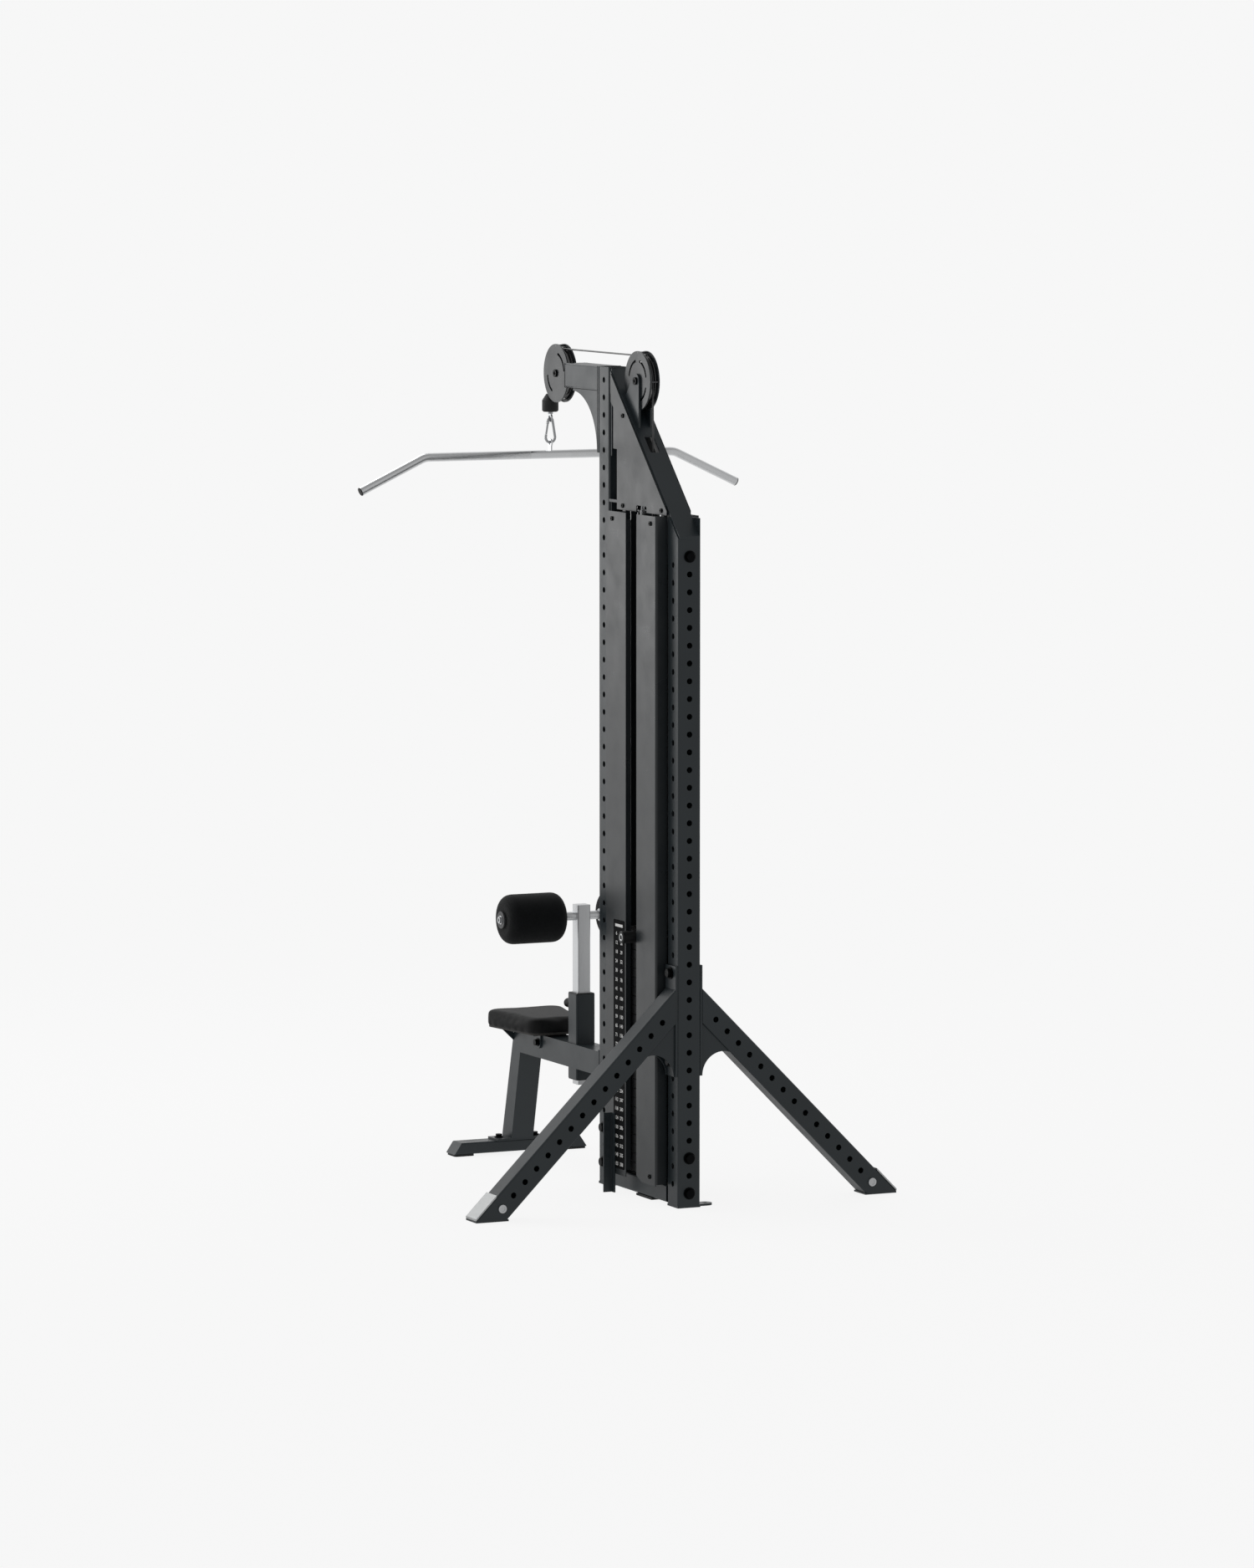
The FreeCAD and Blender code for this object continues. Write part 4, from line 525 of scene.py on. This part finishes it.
def cord(name, points, radius, material):
    """A round cord through points, as a mesh."""
    curve = bpy.data.curves.new(name, "CURVE")
    curve.dimensions = "3D"
    curve.bevel_depth = radius
    curve.bevel_resolution = 2
    spline = curve.splines.new("POLY")
    spline.points.add(len(points) - 1)
    for target, point in zip(spline.points, points):
        target.co = (*point, 1.0)
    piece = new_piece(name, curve_mesh(name, curve), material)
    shade_smooth(piece)
    return piece


# ---- seat pad ---------------------------------------------------------------------------------
def seat_pad():
    """Crowned vinyl pad wrapped over its board."""
    low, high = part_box("seat_pad")
    centre = (low + high) / 2
    cover = vinyl("seat_vinyl", VINYL, roughness=0.55, grain=1500.0, shine=0.16)
    pad = copy_of("seat_pad", "seat_pad_cover", cover)
    shrink_about(pad, Vector((centre.x, centre.y, low.z)), SEAT_SHRINK)
    voxel_remesh(pad)
    relax(pad, rounds=3)
    puff(pad, SEAT_PRESSURE)
    relax(pad, rounds=10)
    for vertex in pad.data.vertices:
        vertex.co.z = max(vertex.co.z, low.z + SEAT_UNDER_GAP)
    pad.data.update()
    subdivide(pad)
    shade_smooth(pad)
    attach(pad, "machine_frame")
    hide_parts("seat_pad")


# ---- thigh rollers ----------------------------------------------------------------------------
def thigh_roller(side):
    """Skinned foam roller with softly rounded ends."""
    node = side + "_roller_foam"
    low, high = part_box(node)
    centre = (low + high) / 2
    skin = vinyl(side + "_foam_skin", SKIN_FOAM, roughness=0.70, grain=2200.0, shine=0.18)
    foam = copy_of(node, side + "_roller_cover", skin)
    shrink_about(foam, centre, ROLLER_SHRINK)
    voxel_remesh(foam)
    relax(foam, rounds=2)
    rest = [vertex.co.copy() for vertex in foam.data.vertices]
    puff(foam, ROLLER_PRESSURE)
    for vertex, before in zip(foam.data.vertices, rest):
        reach = math.hypot(before.y - centre.y, before.z - centre.z)
        share = min(1.0, max(0.0, (reach - ROLLER_HELD) / ROLLER_HELD))
        vertex.co = before.lerp(vertex.co, share)
    foam.data.update()
    subdivide(foam)
    shade_smooth(foam)
    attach(foam, side + "_roller")
    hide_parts(node)


# ---- selector knob ----------------------------------------------------------------------------
def turned_ring(name, centre, profile, material):
    """Closed ring about a line along X through centre. The profile is (x from centre, radius) pairs."""
    corners = []
    for step in range(RING_TURNS):
        angle = math.tau * step / RING_TURNS
        for x, radius in profile:
            corners.append((centre.x + x, centre.y + radius * math.cos(angle),
                            centre.z + radius * math.sin(angle)))
    sides = len(profile)
    faces = []
    for step in range(RING_TURNS):
        after = (step + 1) % RING_TURNS
        for side in range(sides):
            beside = (side + 1) % sides
            faces.append((step * sides + side, step * sides + beside,
                          after * sides + beside, after * sides + side))
    mesh = bpy.data.meshes.new(name)
    mesh.from_pydata(corners, [], faces)
    piece = new_piece(name, mesh, material)
    shade_smooth(piece)
    return piece


def selector_cap(material):
    """Bright ring let into the end of the selector knob."""
    low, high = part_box("selector_pin")
    centre = Vector((high.x, (low.y + high.y) / 2, (low.z + high.z) / 2))
    cap = turned_ring("selector_cap", centre, CAP_PROFILE, material)
    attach(cap, "selector_pin")


# ---- welds on the top arm, dark as painted shade lines ----------------------------------------
def arm_welds(material):
    """Beads where the arm tube meets its gussets, its flange and the pulley discs, on both sides. Their
    dark paint is painted shade along these joints.
    """
    low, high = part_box("top_arm")
    flange_y = high.y - ARM_FLANGE
    under = high.z - ARM_TUBE
    for side, x in (("right", high.x), ("left", low.x)):
        runs = {
            "gusset": ((x, low.y, under), (x, flange_y, under)),
            "flange": ((x, flange_y, low.z), (x, flange_y, high.z)),
            "end": ((x, low.y, under), (x, low.y, high.z)),
        }
        for place, points in runs.items():
            bead = cord("%s_%s_weld" % (side, place), points, WELD_R, material)
            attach(bead, "machine_frame")


# ---- straight cable drops ---------------------------------------------------------------------
def cable_drop(node, name, material):
    """A straight stretch of cable copied from its CAD node, smooth shaded and baked in place."""
    drop = copy_of(node, name, material)
    shade_smooth(drop)
    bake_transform(drop)
    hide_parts(node)


def cable_drops(material):
    for node, name, body in (("cable_stack_drop", "stack_drop_cable", "stack_carriage"),
                             ("cable_bar_drop", "bar_drop_cable", "cable_end")):
        cable_drop(node, name, material)


# ---- weight scale -----------------------------------------------------------------------------
def text_mesh(words):
    """Thin raised text in its own XY plane, centred on the origin."""
    curve = bpy.data.curves.new("text", "FONT")
    curve.body = words
    curve.size = NUMBER_HEIGHT * FONT_PER_HEIGHT
    curve.extrude = INK_DEPTH
    curve.align_x = "CENTER"
    curve.align_y = "CENTER"
    curve.offset = STROKE_SPREAD
    return curve_mesh("text", curve)


def weight_numbers(ink):
    """Two columns of numbers, kilograms on the left and pounds on the right, under a plain bar."""
    low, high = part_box("weight_label")
    width = high.y - low.y
    face_x = high.x
    joined = bmesh.new()
    onto_side = Matrix(((0, 0, 1, 0), (1, 0, 0, 0), (0, 1, 0, 0), (0, 0, 0, 1)))
    for row in range(NUMBER_ROWS):
        z = low.z + FIRST_ROW + row * ROW_PITCH
        plates = NUMBER_ROWS - row
        for number, column in ((round(plates * PLATE_KG), KG_COLUMN), (plates * PLATE_LB, LB_COLUMN)):
            place = Matrix.Translation((face_x + INK_GAP, low.y + width * column, z))
            mesh = text_mesh(str(number))
            mesh.transform(place @ onto_side)
            joined.from_mesh(mesh)
            bpy.data.meshes.remove(mesh)
    head = bmesh.ops.create_cube(joined, size=1.0)["verts"]
    head_size = (HEAD_BAR_DEPTH, width * HEAD_BAR_SHARE, HEAD_BAR_HEIGHT)
    head_place = (face_x, (low.y + high.y) / 2, high.z - HEAD_BAR_DROP)
    bmesh.ops.scale(joined, vec=head_size, verts=head)
    bmesh.ops.translate(joined, vec=head_place, verts=head)
    mesh = bpy.data.meshes.new("weight_numbers")
    joined.to_mesh(mesh)
    joined.free()
    numbers = new_piece("weight_numbers", mesh, ink)
    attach(numbers, "machine_frame")


# ---- floor, light and camera ------------------------------------------------------------------
def floor_material():
    """Matte floor with a glow of its own, which fades into the backdrop.

    The camera sees an even glow. Reflections see one that grows towards the user's side.
    """
    material = bpy.data.materials.new("pale_floor")
    material.use_nodes = True
    tree = material.node_tree
    tree.nodes.clear()
    output = add_node(tree, "ShaderNodeOutputMaterial")
    place = add_node(tree, "ShaderNodeNewGeometry").outputs["Position"]
    seen = add_node(tree, "ShaderNodeLightPath").outputs["Is Camera Ray"]
    depth = add_node(tree, "ShaderNodeSeparateXYZ", {0: place}).outputs[1]
    lent = ramp(tree, depth, FLOOR_SPAN, FLOOR_FRONT_GLOW, FLOOR_BACK_GLOW)
    strength = add_node(tree, "ShaderNodeMix", {0: seen, 2: lent, 3: FLOOR_GLOW}).outputs[0]
    glow = add_node(tree, "ShaderNodeEmission", {"Color": opaque((1, 1, 1)), "Strength": strength})
    matte = add_node(tree, "ShaderNodeBsdfDiffuse", {"Color": opaque([FLOOR_MATTE] * 3)})
    near = add_node(tree, "ShaderNodeAddShader", {0: matte.outputs[0], 1: glow.outputs[0]})
    backdrop = add_node(tree, "ShaderNodeEmission", {"Color": opaque(PAPER)})
    distance = add_node(tree, "ShaderNodeVectorMath", {0: place}, operation="LENGTH").outputs["Value"]
    fade = ramp(tree, distance, FADE_SPAN, 0.0, 1.0)
    far = add_node(tree, "ShaderNodeMath", {0: fade, 1: seen}, operation="MULTIPLY").outputs[0]
    join = add_node(tree, "ShaderNodeMixShader", {0: far, 1: near.outputs[0], 2: backdrop.outputs[0]})
    tree.links.new(join.outputs[0], output.inputs["Surface"])
    return material


def floor():
    mesh = bpy.data.meshes.new("floor")
    corners = [(x * FLOOR_REACH, y * FLOOR_REACH, 0) for x, y in ((-1, -1), (1, -1), (1, 1), (-1, 1))]
    mesh.from_pydata(corners, [], [(0, 1, 2, 3)])
    ground = new_piece("floor", mesh, floor_material())
    ground.location.z = -FLOOR_GAP


def studio():
    """Plain pale backdrop for the camera.

    The machine reflects a room that is brighter on the user's side and dimmer overhead.
    """
    world = bpy.data.worlds.new("studio")
    scene.world = world
    world.use_nodes = True
    tree = world.node_tree
    tree.nodes.clear()
    output = add_node(tree, "ShaderNodeOutputWorld")
    direction = add_node(tree, "ShaderNodeTexCoord").outputs["Generated"]
    parts = add_node(tree, "ShaderNodeSeparateXYZ", {0: direction}).outputs
    sides = ramp(tree, parts[1], SIDE_SPAN, FRONT_GLOW, BACK_GLOW, "SMOOTHSTEP")
    roof = ramp(tree, parts[2], ROOF_SPAN, 0.0, ROOF_GLOW, "SMOOTHSTEP")
    total = add_node(tree, "ShaderNodeMath", {0: sides, 1: roof}, operation="ADD").outputs[0]
    room = add_node(tree, "ShaderNodeBackground", {"Color": opaque(ROOM), "Strength": total})
    backdrop = add_node(tree, "ShaderNodeBackground", {"Color": opaque(PAPER)})
    seen = add_node(tree, "ShaderNodeLightPath").outputs["Is Camera Ray"]
    pick = add_node(tree, "ShaderNodeMixShader", {0: seen, 1: room.outputs[0], 2: backdrop.outputs[0]})
    tree.links.new(pick.outputs[0], output.inputs["Surface"])


def softbox(name, place, aim, width, height, power):
    lamp = bpy.data.lights.new(name, "AREA")
    lamp.shape = "RECTANGLE"
    lamp.size = width
    lamp.size_y = height
    lamp.energy = power
    holder = bpy.data.objects.new(name, lamp)
    scene.collection.objects.link(holder)
    holder.location = place
    holder.rotation_euler = (Vector(aim) - Vector(place)).to_track_quat("-Z", "Y").to_euler()
    holder.visible_camera = False


def lights():
    """Two soft boxes on the user's side, one to the user's right and one above."""
    softbox("rear_box", place=(3.4, -4.6, 2.3), aim=(0, 0, 1.6), width=3.0, height=2.6, power=30)
    softbox("roof_box", place=(1.0, -3.0, 5.0), aim=(0, 0, 1.0), width=3.0, height=2.0, power=50)


def camera():
    data = bpy.data.cameras.new("camera")
    data.lens = CAMERA_LENS
    data.sensor_width = CAMERA_SENSOR
    data.sensor_fit = "AUTO"
    data.clip_end = CAMERA_FAR
    holder = bpy.data.objects.new("camera", data)
    scene.collection.objects.link(holder)
    holder.location = CAMERA_PLACE
    holder.rotation_euler = (math.radians(90 - CAMERA_PITCH), 0, math.radians(CAMERA_HEADING))
    scene.camera = holder


# ---- put it together --------------------------------------------------------------------------
def paint_nodes():
    """Give every CAD node that stays in view its finish. Returns the cable's, for the drops."""
    coat = powder_coat("powder_coat", COAT)
    sheet = powder_coat("sheet_coat", SHEET, roughness=0.32)
    cover = powder_coat("cover_coat", SHEET, roughness=0.32, outside_from=COVER_INSIDE)
    plate = powder_coat("plate_coat", SHEET, roughness=0.32)
    stack = powder_coat("stack_paint", STACK, roughness=0.36)
    zinc = plated_metal("zinc_plate", ZINC, roughness=0.26)
    oxide = plated_metal("black_oxide", OXIDE, roughness=0.42)
    dark_steel = plated_metal("dark_steel", DARK_STEEL, roughness=0.28)
    alloy = plated_metal("turned_alloy", ALLOY, roughness=0.26)
    rod = brushed_metal("polished_rod", STEEL, roughness=0.14, along="Z")
    post = brushed_metal("satin_post", STEEL, roughness=0.34, along="Z", line_scale=900.0,
                         depth=0.006 * MM)
    axle = brushed_metal("polished_axle", STEEL, roughness=0.20, along="X")
    silver = brushed_metal("silver_cap", SILVER, roughness=0.48, along="Y", line_scale=900.0,
                           depth=0.0015 * MM)
    hub = moulded_plastic("hub_plastic", HUB, roughness=0.40)
    nylon = moulded_plastic("black_nylon", BLACK, roughness=0.45)
    rubber = moulded_plastic("black_rubber", BLACK, roughness=0.62, grain=500.0)
    wheel = turned_plastic("pulley_nylon", WHEEL, roughness=0.20)
    cable = cable_jacket()
    groups = {
        coat: ("rear_upright", "front_upright", "base_beam", "panel_foot_bracket", "right_leg",
               "left_leg", "upper_brace", "top_arm", "guide_rod_top_plate", "seat_frame",
               "front_crossbar", "seat_bracket", "shroud_brackets"),
        cover: ("top_covers",),
        sheet: ("right_shroud_panels", "left_shroud_panel"),
        plate: ("front_guard_discs", "rear_guard_discs"),
        stack: ("weight_plates", "head_plate"),
        dark_steel: ("cable_keeper_pins",),
        zinc: ("cable_adjuster", "pull_pin_housing", "axle_fittings", "swivel_eye", "snap_hook",
               "hook_gate"),
        oxide: ("tower_bolts", "pulley_axles", "cover_screws", "seat_bolts", "pull_pin"),
        rod: ("guide_rods", "selector_rod"),
        post: ("roller_post",),
        axle: ("roller_axle",),
        silver: ("leg_tip_covers",),
        alloy: ("leg_badge_bolts", "front_pulley_bearing", "rear_pulley_bearing"),
        hub: ("right_roller_hub", "left_roller_hub"),
        nylon: ("guide_bushings", "selector_pin", "sleeve_bushings"),
        wheel: ("front_pulley", "rear_pulley"),
        rubber: ("floor_pads", "stack_bumpers", "cable_stopper", "bar_end_plugs"),
        cable: ("cable_over_pulleys",),
        bar_steel(): ("lat_bar",),
        stained_wood(): ("seat_board",),
        label_film(): ("weight_label",),
    }
    for material, names in groups.items():
        for name in names:
            finish_object(nodes[name], material)
    return cable


scene.view_settings.view_transform = "Standard"
cable_finish = paint_nodes()
seat_pad()
thigh_roller("right")
thigh_roller("left")
cable_drops(cable_finish)
weight_numbers(printed_ink())
selector_cap(plated_metal("bright_ring", SILVER, roughness=0.22))
arm_welds(weld_metal())
floor()
studio()
lights()
camera()
